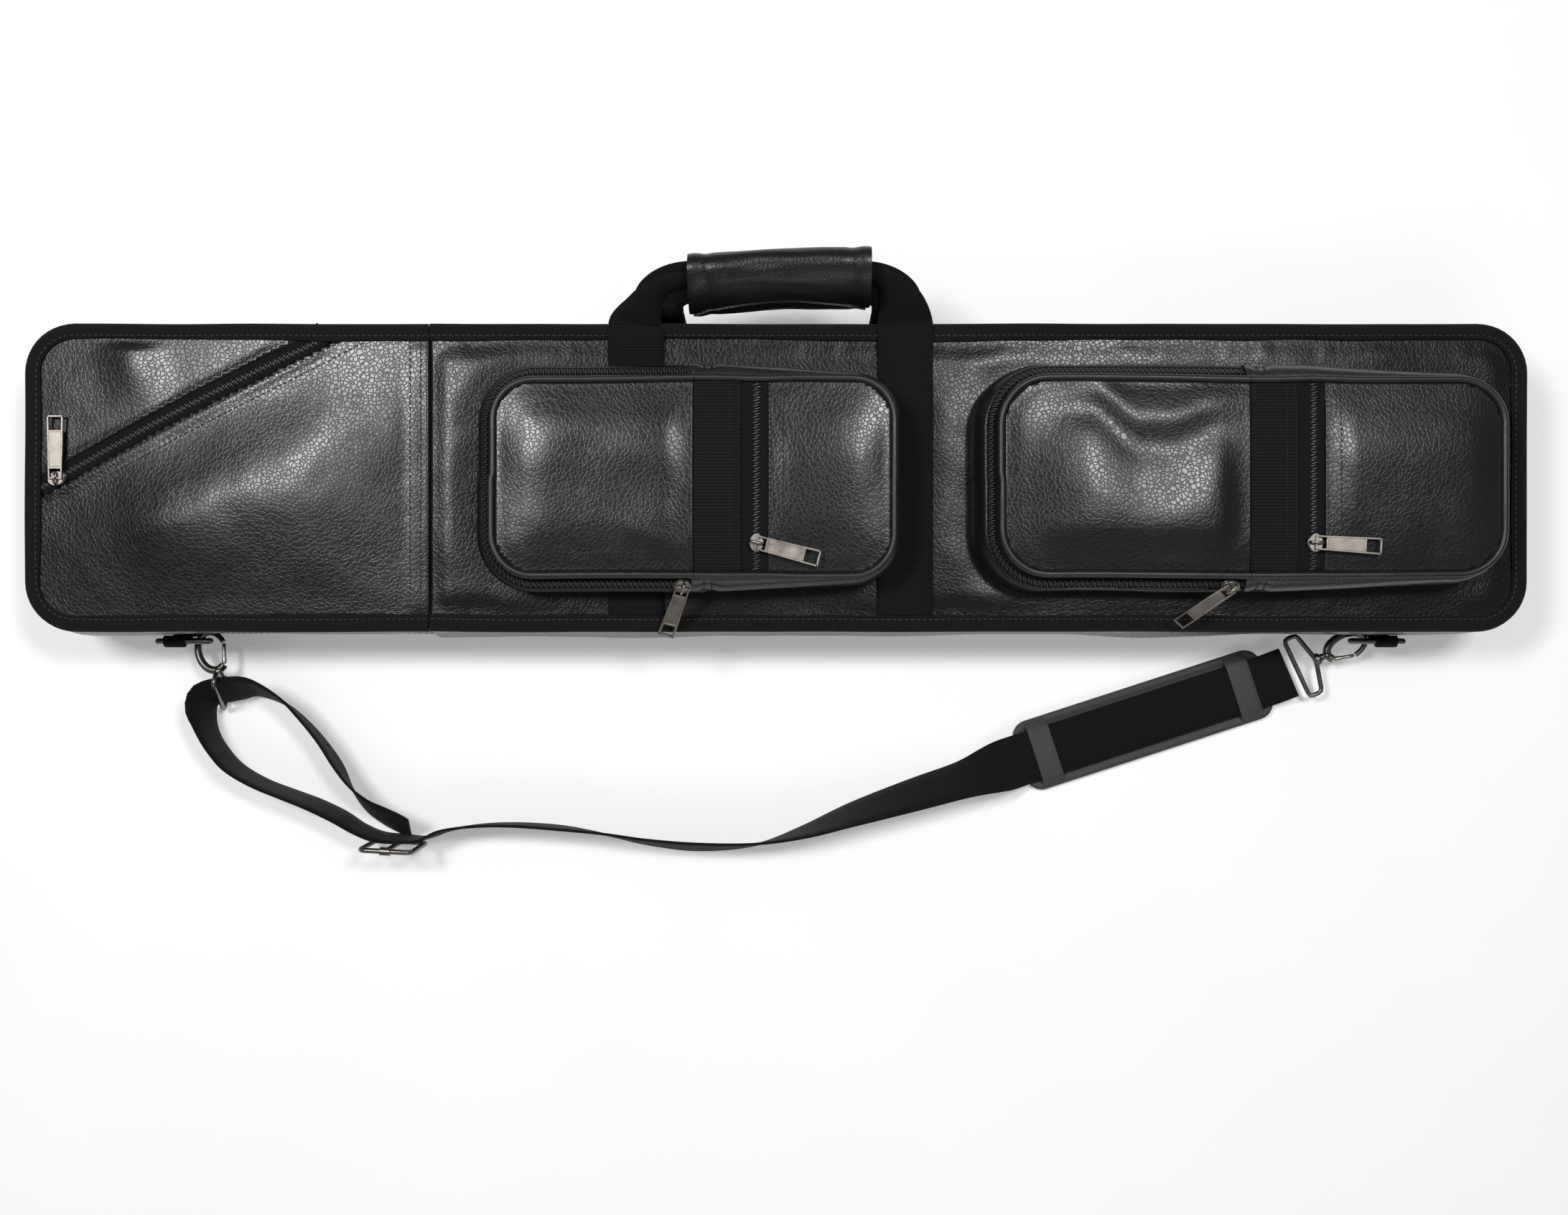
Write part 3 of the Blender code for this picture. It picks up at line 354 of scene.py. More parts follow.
def settle(made, material, body, stands_for=()):
    """Gives a piece its material and its body, and hides the plain solids that it stands for."""
    made.data.materials.clear()
    made.data.materials.append(MATERIALS[material])
    made.data.shade_smooth()
    made.data.set_sharp_from_angle(angle=SHARP_EDGE)
    if body:
        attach(made, body)
    if stands_for:
        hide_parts(*stands_for)
    return made


def ripple(seed, s, scale, size):
    """Smooth wandering along a length, the same at every run."""
    return noise.noise(Vector((s * scale, seed * 7.31, seed * 1.7))) * size


def ease(t):
    t = min(max(t, 0.0), 1.0)
    return t * t * (3 - 2 * t)


def swell(distance, width):
    return math.exp(-(distance / width) ** 2)


def mm(points):
    return [(a * MM, b * MM) for a, b in points]


def fixed(*points):
    """A section given in millimetres that stays the same along its path."""
    section = mm(points)
    return lambda s, k: section


def sweep(path, section, closed=False):
    """Vertices, faces and UVs in metres of a section carried along (point, across, up)."""
    verts, faces, uvs, rows = [], [], [], []
    length = 0.0
    for k, (point, across, up) in enumerate(path):
        if k:
            length += (point - path[k - 1][0]).length
        row = section(length, k)
        rows.append((length, row))
        verts.extend(point + across * a + up * b for a, b in row)
    count = len(rows[0][1])
    total = length + (path[0][0] - path[-1][0]).length
    girth = [0.0]
    for j in range(count):
        girth.append(girth[-1] + math.dist(rows[0][1][j], rows[0][1][(j + 1) % count]))
    for k in range(len(rows) if closed else len(rows) - 1):
        after = (k + 1) % len(rows)
        u0, u1 = rows[k][0], total if after == 0 else rows[after][0]
        for j in range(count):
            n = (j + 1) % count
            v0, v1 = girth[j], girth[j + 1]
            faces.append((k * count + j, after * count + j, after * count + n, k * count + n))
            uvs.append(((u0, v0), (u1, v0), (u1, v1), (u0, v1)))
    if not closed:
        for first, order in ((0, range(count)), ((len(rows) - 1) * count, reversed(range(count)))):
            faces.append(tuple(first + j for j in order))
            uvs.append(tuple((0.0, 0.001 * j) for j in range(count)))
    return verts, faces, uvs


def swept(name, path, section, material, body, stands_for=(), closed=False):
    verts, faces, uvs = sweep(path, section, closed)
    return outward(piece(name, verts, faces, material, body, stands_for, uvs))


def outward(made):
    shape = bmesh.new()
    shape.from_mesh(made.data)
    bmesh.ops.recalc_face_normals(shape, faces=shape.faces)
    shape.to_mesh(made.data)
    shape.free()
    return made


def stretch(a, b, step):
    """Points from a towards b, without b."""
    count = max(1, round((Vector(b) - Vector(a)).length / step))
    return [Vector(a).lerp(Vector(b), k / count) for k in range(count)]


def outline(rect, step=0.004, side=None, cut=0.0):
    """(x, y, outward x, outward y) round a rounded rectangle, or round the part left or right of a cut."""
    x0, x1, y0, y1, r = rect
    arcs = {}
    for name, cx, cy, first in (
        ("br", x1 - r, y0 + r, -90), ("tr", x1 - r, y1 - r, 0),
        ("tl", x0 + r, y1 - r, 90), ("bl", x0 + r, y0 + r, 180),
    ):
        steps = max(6, round(r * math.pi / 2 / step))
        arcs[name] = [
            (cx + r * math.cos(a), cy + r * math.sin(a), math.cos(a), math.sin(a))
            for a in (math.radians(first + 90 * k / steps) for k in range(steps + 1))
        ]

    def edge(a, b, normal):
        return [(p.x, p.y, *normal) for p in stretch(a, b, step)]

    bottom = edge((cut if side == "right" else x0 + r, y0), (x1 - r, y0), (0, -1))
    right = edge((x1, y0 + r), (x1, y1 - r), (1, 0))[1:]
    top_left = cut if side == "right" else x0 + r
    top_right = cut if side == "left" else x1 - r
    top = edge((top_right, y1), (top_left, y1), (0, 1))
    left = edge((x0, y1 - r), (x0, y0 + r), (-1, 0))[1:]
    if side == "right":
        return bottom + arcs["br"] + right + arcs["tr"] + top[1:] + [(cut, y1, 0, 1)]
    if side == "left":
        lower = edge((x0 + r, y0), (cut, y0), (0, -1))[1:] + [(cut, y0, 0, -1)]
        return top + arcs["tl"] + left + arcs["bl"] + lower
    return bottom[1:] + arcs["br"] + right + arcs["tr"] + top[1:] + arcs["tl"] + left + arcs["bl"]


def at_height(points, z, out=0.0, wander=None):
    """A sweep path along an outline: outward is across, Z is up."""
    made = []
    for x, y, nx, ny in points:
        shift = out + (wander(x, y) if wander else 0.0)
        made.append((Vector((x + nx * shift, y + ny * shift, z)), Vector((nx, ny, 0)), Z_AXIS.copy()))
    return made


def inside(x, y, rect):
    """How far (x, y) lies inside a rounded rectangle."""
    x0, x1, y0, y1, r = rect
    qx = abs(x - (x0 + x1) / 2) - (x1 - x0) / 2 + r
    qy = abs(y - (y0 + y1) / 2) - (y1 - y0) / 2 + r
    return r - math.hypot(max(qx, 0), max(qy, 0)) - min(max(qx, qy), 0)


def dome(x, y, rect, margin, width):
    """0 at a rectangle's sides and 1 in its middle, with no crease at its corners."""
    x0, x1, y0, y1, _ = rect
    return (ease((min(x - x0, x1 - x) - margin) / width) * ease((min(y - y0, y1 - y) - margin) / width)) ** 0.7


def onto_edge(x, y, rect):
    """The nearest point of the rounded rectangle's corner arc to a point outside it."""
    x0, x1, y0, y1, r = rect
    cx = min(max(x, x0 + r), x1 - r)
    cy = min(max(y, y0 + r), y1 - r)
    away = Vector((x - cx, y - cy))
    if away.length <= r:
        return x, y
    away.normalize()
    return cx + away.x * r, cy + away.y * r


def panel(name, rect, height, material, body, stands_for, thick=1.4 * MM, cell=3 * MM, cuts=(), warp=None):
    """A soft sheet over a rounded rectangle, cut by straight lines (point, way kept), with height(x, y)."""
    x0, x1, y0, y1, _ = rect
    nx, ny = max(2, round((x1 - x0) / cell)), max(2, round((y1 - y0) / cell))
    shape = bmesh.new()
    made = {}

    def corner(i, j):
        return x0 + (x1 - x0) * i / nx, y0 + (y1 - y0) * j / ny

    for i in range(nx):
        for j in range(ny):
            ring = [(i, j), (i + 1, j), (i + 1, j + 1), (i, j + 1)]
            middle = [sum(corner(*k)[a] for k in ring) / 4 for a in (0, 1)]
            if inside(*middle, rect) < -0.1 * cell:
                continue
            for k in ring:
                if k not in made:
                    made[k] = shape.verts.new((*onto_edge(*corner(*k), rect), 0))
            shape.faces.new([made[k] for k in ring])
    for through, keep in cuts:
        geometry = shape.verts[:] + shape.edges[:] + shape.faces[:]
        bmesh.ops.bisect_plane(shape, geom=geometry, plane_co=(*through, 0), plane_no=(*keep, 0), clear_inner=True)
    for vert in shape.verts:
        x, y = warp(vert.co.x, vert.co.y) if warp else vert.co.xy
        vert.co = (x, y, height(x, y))
    mesh = bpy.data.meshes.new(name)
    shape.to_mesh(mesh)
    shape.free()
    sheet = link(bpy.data.objects.new(name, mesh))
    solid = sheet.modifiers.new("thickness", "SOLIDIFY")
    solid.thickness = thick
    solid.offset = -1
    layer = mesh.uv_layers.new(name="UVMap")
    for loop in mesh.loops:
        co = mesh.vertices[loop.vertex_index].co
        layer.data[loop.index].uv = (co.y, co.x)
    return settle(sheet, material, body, stands_for)


def capsule(verts, faces, centre, along, across, up, length, width, height):
    """A rounded thread or tooth: two tips and three rings of six."""
    first = len(verts)
    verts.append(centre - along * length / 2)
    for share, size in ((-0.34, 0.8), (0.0, 1.0), (0.34, 0.8)):
        for k in range(6):
            a = math.tau * k / 6
            verts.append(
                centre + along * length * share + across * width / 2 * size * math.cos(a)
                + up * height / 2 * size * math.sin(a)
            )
    verts.append(centre + along * length / 2)
    for k in range(6):
        n = (k + 1) % 6
        faces.append((first, first + 1 + n, first + 1 + k))
        for ring in (0, 6):
            a = first + 1 + ring
            faces.append((a + k, a + n, a + 6 + n, a + 6 + k))
        faces.append((first + 13 + k, first + 13 + n, first + 19))


def resampled(points, pitch):
    """(place, along, other) at even steps along [(place, other)], where other is blended between points."""
    lengths = [0.0]
    for (a, _), (b, _) in zip(points, points[1:]):
        lengths.append(lengths[-1] + (b - a).length)
    count = max(1, int(lengths[-1] / pitch))
    made, j = [], 0
    for n in range(count):
        want = (n + 0.5) * lengths[-1] / count
        while j < len(points) - 2 and lengths[j + 1] < want:
            j += 1
        share = (want - lengths[j]) / max(lengths[j + 1] - lengths[j], 1e-9)
        along = (points[j + 1][0] - points[j][0]).normalized()
        place = points[j][0].lerp(points[j + 1][0], share)
        made.append((place, along, points[j][1].lerp(points[j + 1][1], share).normalized()))
    return made


def on_surface(points, height, lift=0.0):
    """Places for stitches or teeth at (x, y) points on a surface, with Z up."""
    return [(Vector((x, y, height(x, y) + lift)), Z_AXIS) for x, y in points]


def stitches(name, rows, body, pitch=3.5 * MM, width=0.95 * MM):
    """Rows of sewn thread, each row [(place on the surface, up)]."""
    verts, faces = [], []
    for row in rows:
        for place, along, up in resampled(row, pitch):
            across = along.cross(up).normalized()
            capsule(verts, faces, place + up * 0.05 * MM, along, across, up, pitch * 0.78, width, 0.45 * MM)
    return piece(name, verts, faces, "thread", body)


def teeth(name, path, body):
    """The coil's teeth across a zip, along [(place, up)]."""
    pitch, width, lift = 1.5 * MM, 4.4 * MM, 0.5 * MM
    verts, faces = [], []
    for k, (place, along, up) in enumerate(resampled(path, pitch)):
        across = along.cross(up).normalized()
        side = 0.4 * MM if k % 2 else -0.4 * MM
        lean = (across + along * 0.22).normalized()
        capsule(verts, faces, place + across * side + up * lift, lean, along, up, width, 1.15 * MM, 1.1 * MM)
    return piece(name, verts, faces, "teeth", body)


def flat_section(half, thick):
    """A webbing or tape section, its edges rounded: across by up, the underside at 0."""
    e = thick * 0.35
    return [
        (-half, e), (-half + e, 0), (-half / 2, 0), (half / 2, 0), (half - e, 0), (half, e), (half, thick - e),
        (half - e, thick), (half / 2, thick), (-half / 2, thick), (-half + e, thick), (-half, thick - e),
    ]


def round_section(radius, sides):
    return [(radius * math.cos(math.tau * k / sides), radius * math.sin(math.tau * k / sides)) for k in range(sides)]


def smooth_path(points, count):
    """Evenly spaced points on a Catmull-Rom curve through the given ones, of any dimension."""
    fine = []
    for i in range(len(points) - 1):
        p0, p1 = points[max(i - 1, 0)], points[i]
        p2, p3 = points[i + 1], points[min(i + 2, len(points) - 1)]
        for t in (k / 12 for k in range(12)):
            fine.append([
                0.5 * (2 * b + (c - a) * t + (2 * a - 5 * b + 4 * c - d) * t * t + (3 * b - a - 3 * c + d) * t**3)
                for a, b, c, d in zip(p0, p1, p2, p3)
            ])
    fine.append(list(points[-1]))
    lengths = [0.0]
    for a, b in zip(fine, fine[1:]):
        lengths.append(lengths[-1] + math.dist(a[:3], b[:3]))
    out, j = [], 0
    for n in range(count):
        want = lengths[-1] * n / (count - 1)
        while j < len(fine) - 2 and lengths[j + 1] < want:
            j += 1
        share = (want - lengths[j]) / max(lengths[j + 1] - lengths[j], 1e-9)
        out.append([a + (b - a) * min(share, 1.0) for a, b in zip(fine[j], fine[j + 1])])
    return out


def rod_path(points, normal, closed=False):
    """A sweep path along points, square to a direction or to what a function of the point gives."""
    made, count = [], len(points)
    for k, point in enumerate(points):
        before = points[k - 1] if k or closed else point
        after = points[(k + 1) % count] if k < count - 1 or closed else point
        way = (after - before).normalized()
        facing = normal(point) if callable(normal) else normal
        up = (facing - way * facing.dot(way)).normalized()
        made.append((point, way.cross(up).normalized(), up))
    return made


def joined(name, shapes, material, body, stands_for=(), bevel=0.0):
    """One piece from several (verts, faces), with an edge bevel."""
    verts, faces = [], []
    for part_verts, part_faces in shapes:
        first = len(verts)
        verts.extend(part_verts)
        faces.extend(tuple(first + k for k in face) for face in part_faces)
    made = outward(piece(name, verts, faces, material, body, stands_for))
    if bevel:
        edge = made.modifiers.new("bevel", "BEVEL")
        edge.width, edge.segments = bevel, 2
        edge.limit_method, edge.angle_limit = "ANGLE", BEVEL_EDGE
    return made


def brick(x0, x1, y0, y1, z0, z1, place, taper):
    """A box whose width changes along its length, as taper(x) says."""
    corners = [(x, y * taper(x), z) for z in (z0, z1) for x, y in ((x0, y0), (x1, y0), (x1, y1), (x0, y1))]
    faces = [(3, 2, 1, 0), (4, 5, 6, 7), (0, 1, 5, 4), (1, 2, 6, 5), (2, 3, 7, 6), (3, 0, 4, 7)]
    return [place @ Vector(corner) for corner in corners], faces


def prism(points, z0, z1, place):
    """A flat outline raised from z0 to z1."""
    count = len(points)
    verts = [place @ Vector((x, y, z)) for z in (z0, z1) for x, y in points]
    faces = [tuple(reversed(range(count))), tuple(range(count, 2 * count))]
    faces += [(k, (k + 1) % count, count + (k + 1) % count, count + k) for k in range(count)]
    return verts, faces


def tube(points, radius, normal, closed=False, sides=10):
    """A round rod through points, of one radius or with a radius in millimetres at each point."""
    def section(s, k):
        return round_section(radius if isinstance(radius, float) else radius[k] * MM, sides)

    return sweep(rod_path(points, normal, closed), section, closed)[:2]


def rounded(x0, x1, y0, y1, radius, steps):
    """Points round a rectangle whose corner arcs have their centres at these sides."""
    points = []
    for cx, cy, first in ((x1, y0, -90), (x1, y1, 0), (x0, y1, 90), (x0, y0, 180)):
        for k in range(steps + 1):
            a = math.radians(first + 90 * k / steps)
            points.append((cx + radius * math.cos(a), cy + radius * math.sin(a)))
    return points


def frame_of(origin, x_way, z_way):
    z = Vector(z_way).normalized()
    x = Vector(x_way)
    x = (x - z * x.dot(z)).normalized()
    made = Matrix((x, z.cross(x), z)).transposed().to_4x4()
    made.translation = origin
    return made


# ---------------------------------------------------------------- surfaces
def rough_at(x, y, z, size):
    """Unevenness of a soft surface, of this many millimetres."""
    return noise.noise(Vector((x, y, z))) * size * MM


def zip_offset(x, y):
    """Distance to the side of the diagonal zip, and how far the zip bows there."""
    away = Vector((x, y)) - ZIP_START
    t, d = away.dot(ZIP_WAY), away.dot(ZIP_ACROSS)
    share = min(max(t / (ZIP_END - ZIP_START).length, 0), 1)
    return d, ZIP_BOW * math.sin(math.pi * share)


def bow(x, y):
    d, size = zip_offset(x, y)
    shift = ZIP_ACROSS * size * swell(d, 0.022)
    return x + shift.x, y + shift.y


def lid_height(x, y):
    d = inside(x, y, CASE) - 0.009
    away = zip_offset(x, y)[0]
    crown = 5.0 * MM * dome(x, y, (CASE[0], SEAM_X, *CASE[2:]), 4 * MM, 0.080) * ease((abs(away) - 0.004) / 0.055)
    crown += 0.4 * MM * ease((x - SEAM_X + 0.0130) / 0.002) * ease(d / 0.003)
    crown += 1.3 * MM * swell(x + 0.344, 0.030) * swell(y + 0.025, 0.022)
    if away > 0.004:
        fold = 1.7 * MM * swell(x + 0.369 + (y - 0.055) * 0.2, 0.014) * ease((y - 0.012) / 0.05)
        crown = crown * 0.25 + fold * ease(d / 0.004) * ease((away - 0.004) / 0.04)
    rumple = rough_at(x * 34, y * 34, 3.1, 0.35) + rough_at(x * 90, y * 90, 1.1, 0.08)
    near_zip = ease((abs(away) - 0.003) / 0.012)
    lip = 0.7 * MM * swell(away + 0.0060, 0.0022) + 0.7 * MM * swell(away - 0.0078, 0.0020)
    return FRONT_TOP - 0.3 * MM + crown + lip * ease(d / 0.004) + rumple * ease(d / 0.01) * near_zip


def front_height(x, y):
    d = inside(x, y, CASE) - 0.009
    crown = 1.5 * MM * ease(d / 0.012) * ease((x - SEAM_X) / 0.012)
    for rect in POCKETS.values():
        crown *= 0.25 + 0.75 * ease((-inside(x, y, rect) - 0.006) / 0.022)
    rumple = rough_at(x * 26, y * 40, 7.7, 0.55) + rough_at(x * 75, y * 90, 2.2, 0.12)
    pucker = rough_at(x * 140, 0, 5.0, 0.5) * swell(d - 0.003, 0.005)
    return FRONT_TOP - 0.5 * MM + crown + (rumple + pucker) * ease(d / 0.004)


def pocket_shape(name):
    """The pocket's rectangle, its hinge, and the edges of the ribbed strip and of the face zip."""
    strip_low, strip_high = box(f"{name}_web_strip")
    return POCKETS[name], strip_low.x - 0.15 * MM, strip_high.x, box(f"{name}_face_zip")[1].x


def face_height(name):
    rect, hinge, strip_end, zip_end = pocket_shape(name)
    x0, x1, y0, y1, _ = rect

    def crest(x):
        """Where the large pocket's long dent has its crest: it dips once and rises again."""
        return 0.051 - 0.020 * ease((x - 0.172) / 0.032) + 0.008 * ease((x - 0.215) / 0.032)

    def height(x, y):
        d = inside(x, y, rect) - 3.6 * MM
        z = FACE_TOP - 2.1 * MM + 0.5 * MM * ease(d / 0.010)
        z += 1.2 * MM * dome(x, y, rect, 3 * MM, 0.034)
        share = 1.0 if name == "mid" else ease((x - hinge) / 0.030)
        z += 1.9 * MM * ease((y1 - y) / 0.050) * ease((y - y0) / 0.075) * ease(d / 0.020) * share
        if x < hinge:
            z += 0.8 * MM * ease(d / 0.030) * ease((hinge - x) / 0.02)
        gap = max(hinge - x, x - zip_end - 1.0 * MM, 0)
        z += rough_at(x * 38, y * 38, 9.0, 0.35) * ease(d / 0.012) * ease(gap / 0.01)
        if name == "large" and x < hinge + 0.01:
            fade = ease((x - x0 - 0.014) / 0.04) * ease((hinge + 0.008 - x) / 0.034)
            down = crest(x) - y
            z += 1.4 * MM * swell(down, 0.0105) * fade
            z -= 0.8 * MM * swell(down - 0.0160, 0.0110) * fade
            z += 3.1 * MM * ease((down - 0.006) / 0.056) * ease(d / 0.026) * fade
            z -= 1.0 * MM * swell(x - 0.152, 0.015) * swell(y - 0.030, 0.022)
        if name == "mid" and x < hinge:
            z += 0.5 * MM * swell(y + 0.035 + (x + 0.07) * 0.4, 0.005) * swell(x + 0.072, 0.016)
            z -= 0.9 * MM * swell(x + 0.095, 0.035) * swell(y + 0.005, 0.020)
        # The ribbed strip lies lower than the padded panels, so that the flap can fold up beside it.
        z -= max(0.0, z - FACE_TOP + 0.3 * MM) * (1 - ease(gap / 0.018))
        return z

    return height


def pocket_wave(name):
    """How far the piping wanders outward, which its face and zip follow."""
    seed = {"mid": 3, "large": 5}[name]
    rect = POCKETS[name]
    middle = (rect[2] + rect[3]) / 2
    zip_x = ZIPS[f"{name}_face"][0].x

    def wave(x, y):
        side = 1 if y > middle else -1
        return ripple(seed + side * 0.37, x + side, 9.0, 1.6 * MM) * (1 - swell(x - zip_x, 0.016))

    return wave


# ---------------------------------------------------------------- pieces
def add_back():
    top = BACK_TOP - 0.05 * MM
    back = grown("back_panel", 0.0, 0.029)
    panel("back_cover", back, lambda x, y: top, "leather", "case", ["back_panel"], top, 8 * MM)
    path = at_height(outline(CASE, 0.005), 0.0, 0.0, lambda x, y: ripple(1, x + y, 14, 0.35 * MM))
    section = fixed(
        (1.6, 0.4), (3.0, 0.35), (3.7, 1.2), (3.9, 3.2), (3.7, 6.4), (3.1, 7.9), (1.9, 8.3), (1.5, 7.6), (1.4, 4.0),
    )
    swept("back_edge_binding", path, section, "binding", "case", ["back_binding"], closed=True)
    row = [(p + n * 3.86 * MM + Z_AXIS * 5.9 * MM, n) for p, n, _ in path]
    stitches("back_binding_stitches", [row + row[:1]], "case")


def wall_section(low, bulge, seed):
    """A padded gusset's section: it bulges most just above its middle, and wanders along its length."""
    out, thick, steps = 1.3 * MM, 2.6 * MM, 9

    def section(s, k):
        size = bulge * (1 + ripple(seed, s, 11, 0.9)) + ripple(seed + 1, s, 30, 0.5 * MM)
        face = []
        for t in (n / steps for n in range(steps + 1)):
            shape = math.sin(math.pi * t ** 0.85) ** 1.2
            fold = ripple(seed + 2 + t * 0.8, s, 22, 0.5 * MM) * math.sin(math.pi * t)
            face.append((out + size * shape + fold, low + (WALL_TOP - low) * t))
        return face + [(out - thick, z) for _, z in reversed(face[::3])]
    return section


def add_walls():
    low = fixed((-1.3, 2.7), (1.0, 2.7), (1.6, 4.5), (1.75, 8.0), (1.6, 11.6), (1.2, 12.3), (-1.3, 12.3))
    for name, step, side, cut, section, body, nodes in (
        ("gusset_low", 0.006, "left", SEAM_X, low, "case", []),
        ("gusset_body", 0.005, "right", SEAM_X + 0.15 * MM, wall_section(3.0 * MM, 3.6 * MM, 2), "case", ["case_wall"]),
        ("gusset_lid", 0.005, "left", SEAM_X, wall_section(16.2 * MM, 2.8 * MM, 6), "lid", ["lid_wall"]),
    ):
        swept(name, at_height(outline(CASE, step, side, cut), 0.0), section, "leather_smooth", body, nodes)


def add_main_zip():
    path = at_height(outline(CASE, 0.004, "left", SEAM_X), MAIN_ZIP_Z)
    section = fixed((-0.6, -2.2), (0.3, -2.2), (0.3, 2.2), (-0.6, 2.2))
    swept("main_zip_tape", path, section, "tape", "case", ["main_zip_chain"])
    teeth("main_zip_teeth", [(p + n * 0.35 * MM, n) for p, n, _ in path], "case")


def binding_section(seed):
    def section(s, k):
        inner = -BINDING_WIDTH + ripple(seed, s, 24, 1.1 * MM) + ripple(seed + 3, s, 7, 1.2 * MM)
        rise = ripple(seed + 1, s, 30, 0.25 * MM)
        return [
            (inner, -0.5 * MM), (inner + 0.1 * MM, 0.75 * MM + rise), (inner + 0.8 * MM, 1.1 * MM + rise),
            (-6.0 * MM, 1.35 * MM + rise), *mm(BINDING_EDGE),
        ]
    return section


def add_binding(name, side, cut, body, node, seed):
    def wander(x, y):
        return ripple(seed + 5, x * 1.3 + y, 13, 0.55 * MM)

    path = at_height(outline(CASE, 0.004, side, cut), FRONT_TOP + 0.35 * MM, 0.0, wander)
    swept(name, path, binding_section(seed), "binding", body, [node])
    row = [(p - n * (BINDING_WIDTH - 2.4 * MM) + Z_AXIS * 1.32 * MM, Z_AXIS) for p, n, _ in path]
    stitches(f"{name}_stitches", [row], body)


def add_panels():
    upper = ZIP_START + ZIP_ACROSS * 6.0 * MM
    lower = ZIP_START - ZIP_ACROSS * 4.2 * MM
    seam = ((SEAM_X, 0), (-1, 0))
    panel("lid_cover", CASE, lid_height, "leather", "lid", ["lid_panel"], cell=2.5 * MM,
          cuts=[(lower, -ZIP_ACROSS), seam], warp=bow)
    panel("lid_corner", CASE, lid_height, "leather", "lid", ["lid_corner_panel"], cell=2.5 * MM,
          cuts=[(upper, ZIP_ACROSS), seam], warp=bow)
    panel("front_cover", CASE, front_height, "leather_front", "case", ["front_panel"],
          cuts=[((SEAM_X + 0.3 * MM, 0), (1, 0))])

    half, step = CASE[3] - BINDING_WIDTH + 1.0 * MM, 4 * MM
    column = [half - k * step for k in range(int(2 * half / step) + 1)]
    seam_lines = (SEAM_X - 11.1 * MM, SEAM_X - 5.0 * MM)
    stitches("lid_seam_stitches", [on_surface([(x, y) for y in column], lid_height) for x in seam_lines], "lid")

    def along_zip(d, start=-0.020, end=0.204, steps=60):
        """Points beside the bowed zip at distance d, as far as the case's edge."""
        line = [ZIP_START + ZIP_WAY * (start + (end - start) * k / steps) + ZIP_ACROSS * d for k in range(steps + 1)]
        return [Vector(bow(*place)) for place in line if inside(*place, CASE) >= 3.5 * MM]

    rows = [on_surface(along_zip(d), lid_height) for d in (-6.6 * MM, -13.0 * MM, 8.6 * MM)]
    stitches("diagonal_zip_stitches", rows, "lid")
    tape = [Vector((*place, FRONT_TOP - 1.5 * MM)) for place in along_zip(1.3 * MM)]
    swept("diagonal_zip_tape", rod_path(tape, Z_AXIS), lambda s, k: flat_section(8.5 * MM, 0.7 * MM), "tape", "lid",
          ["lid_zip_chain"])
    teeth("diagonal_zip_teeth", on_surface(along_zip(0.0), lambda x, y: FRONT_TOP - 0.8 * MM), "lid")


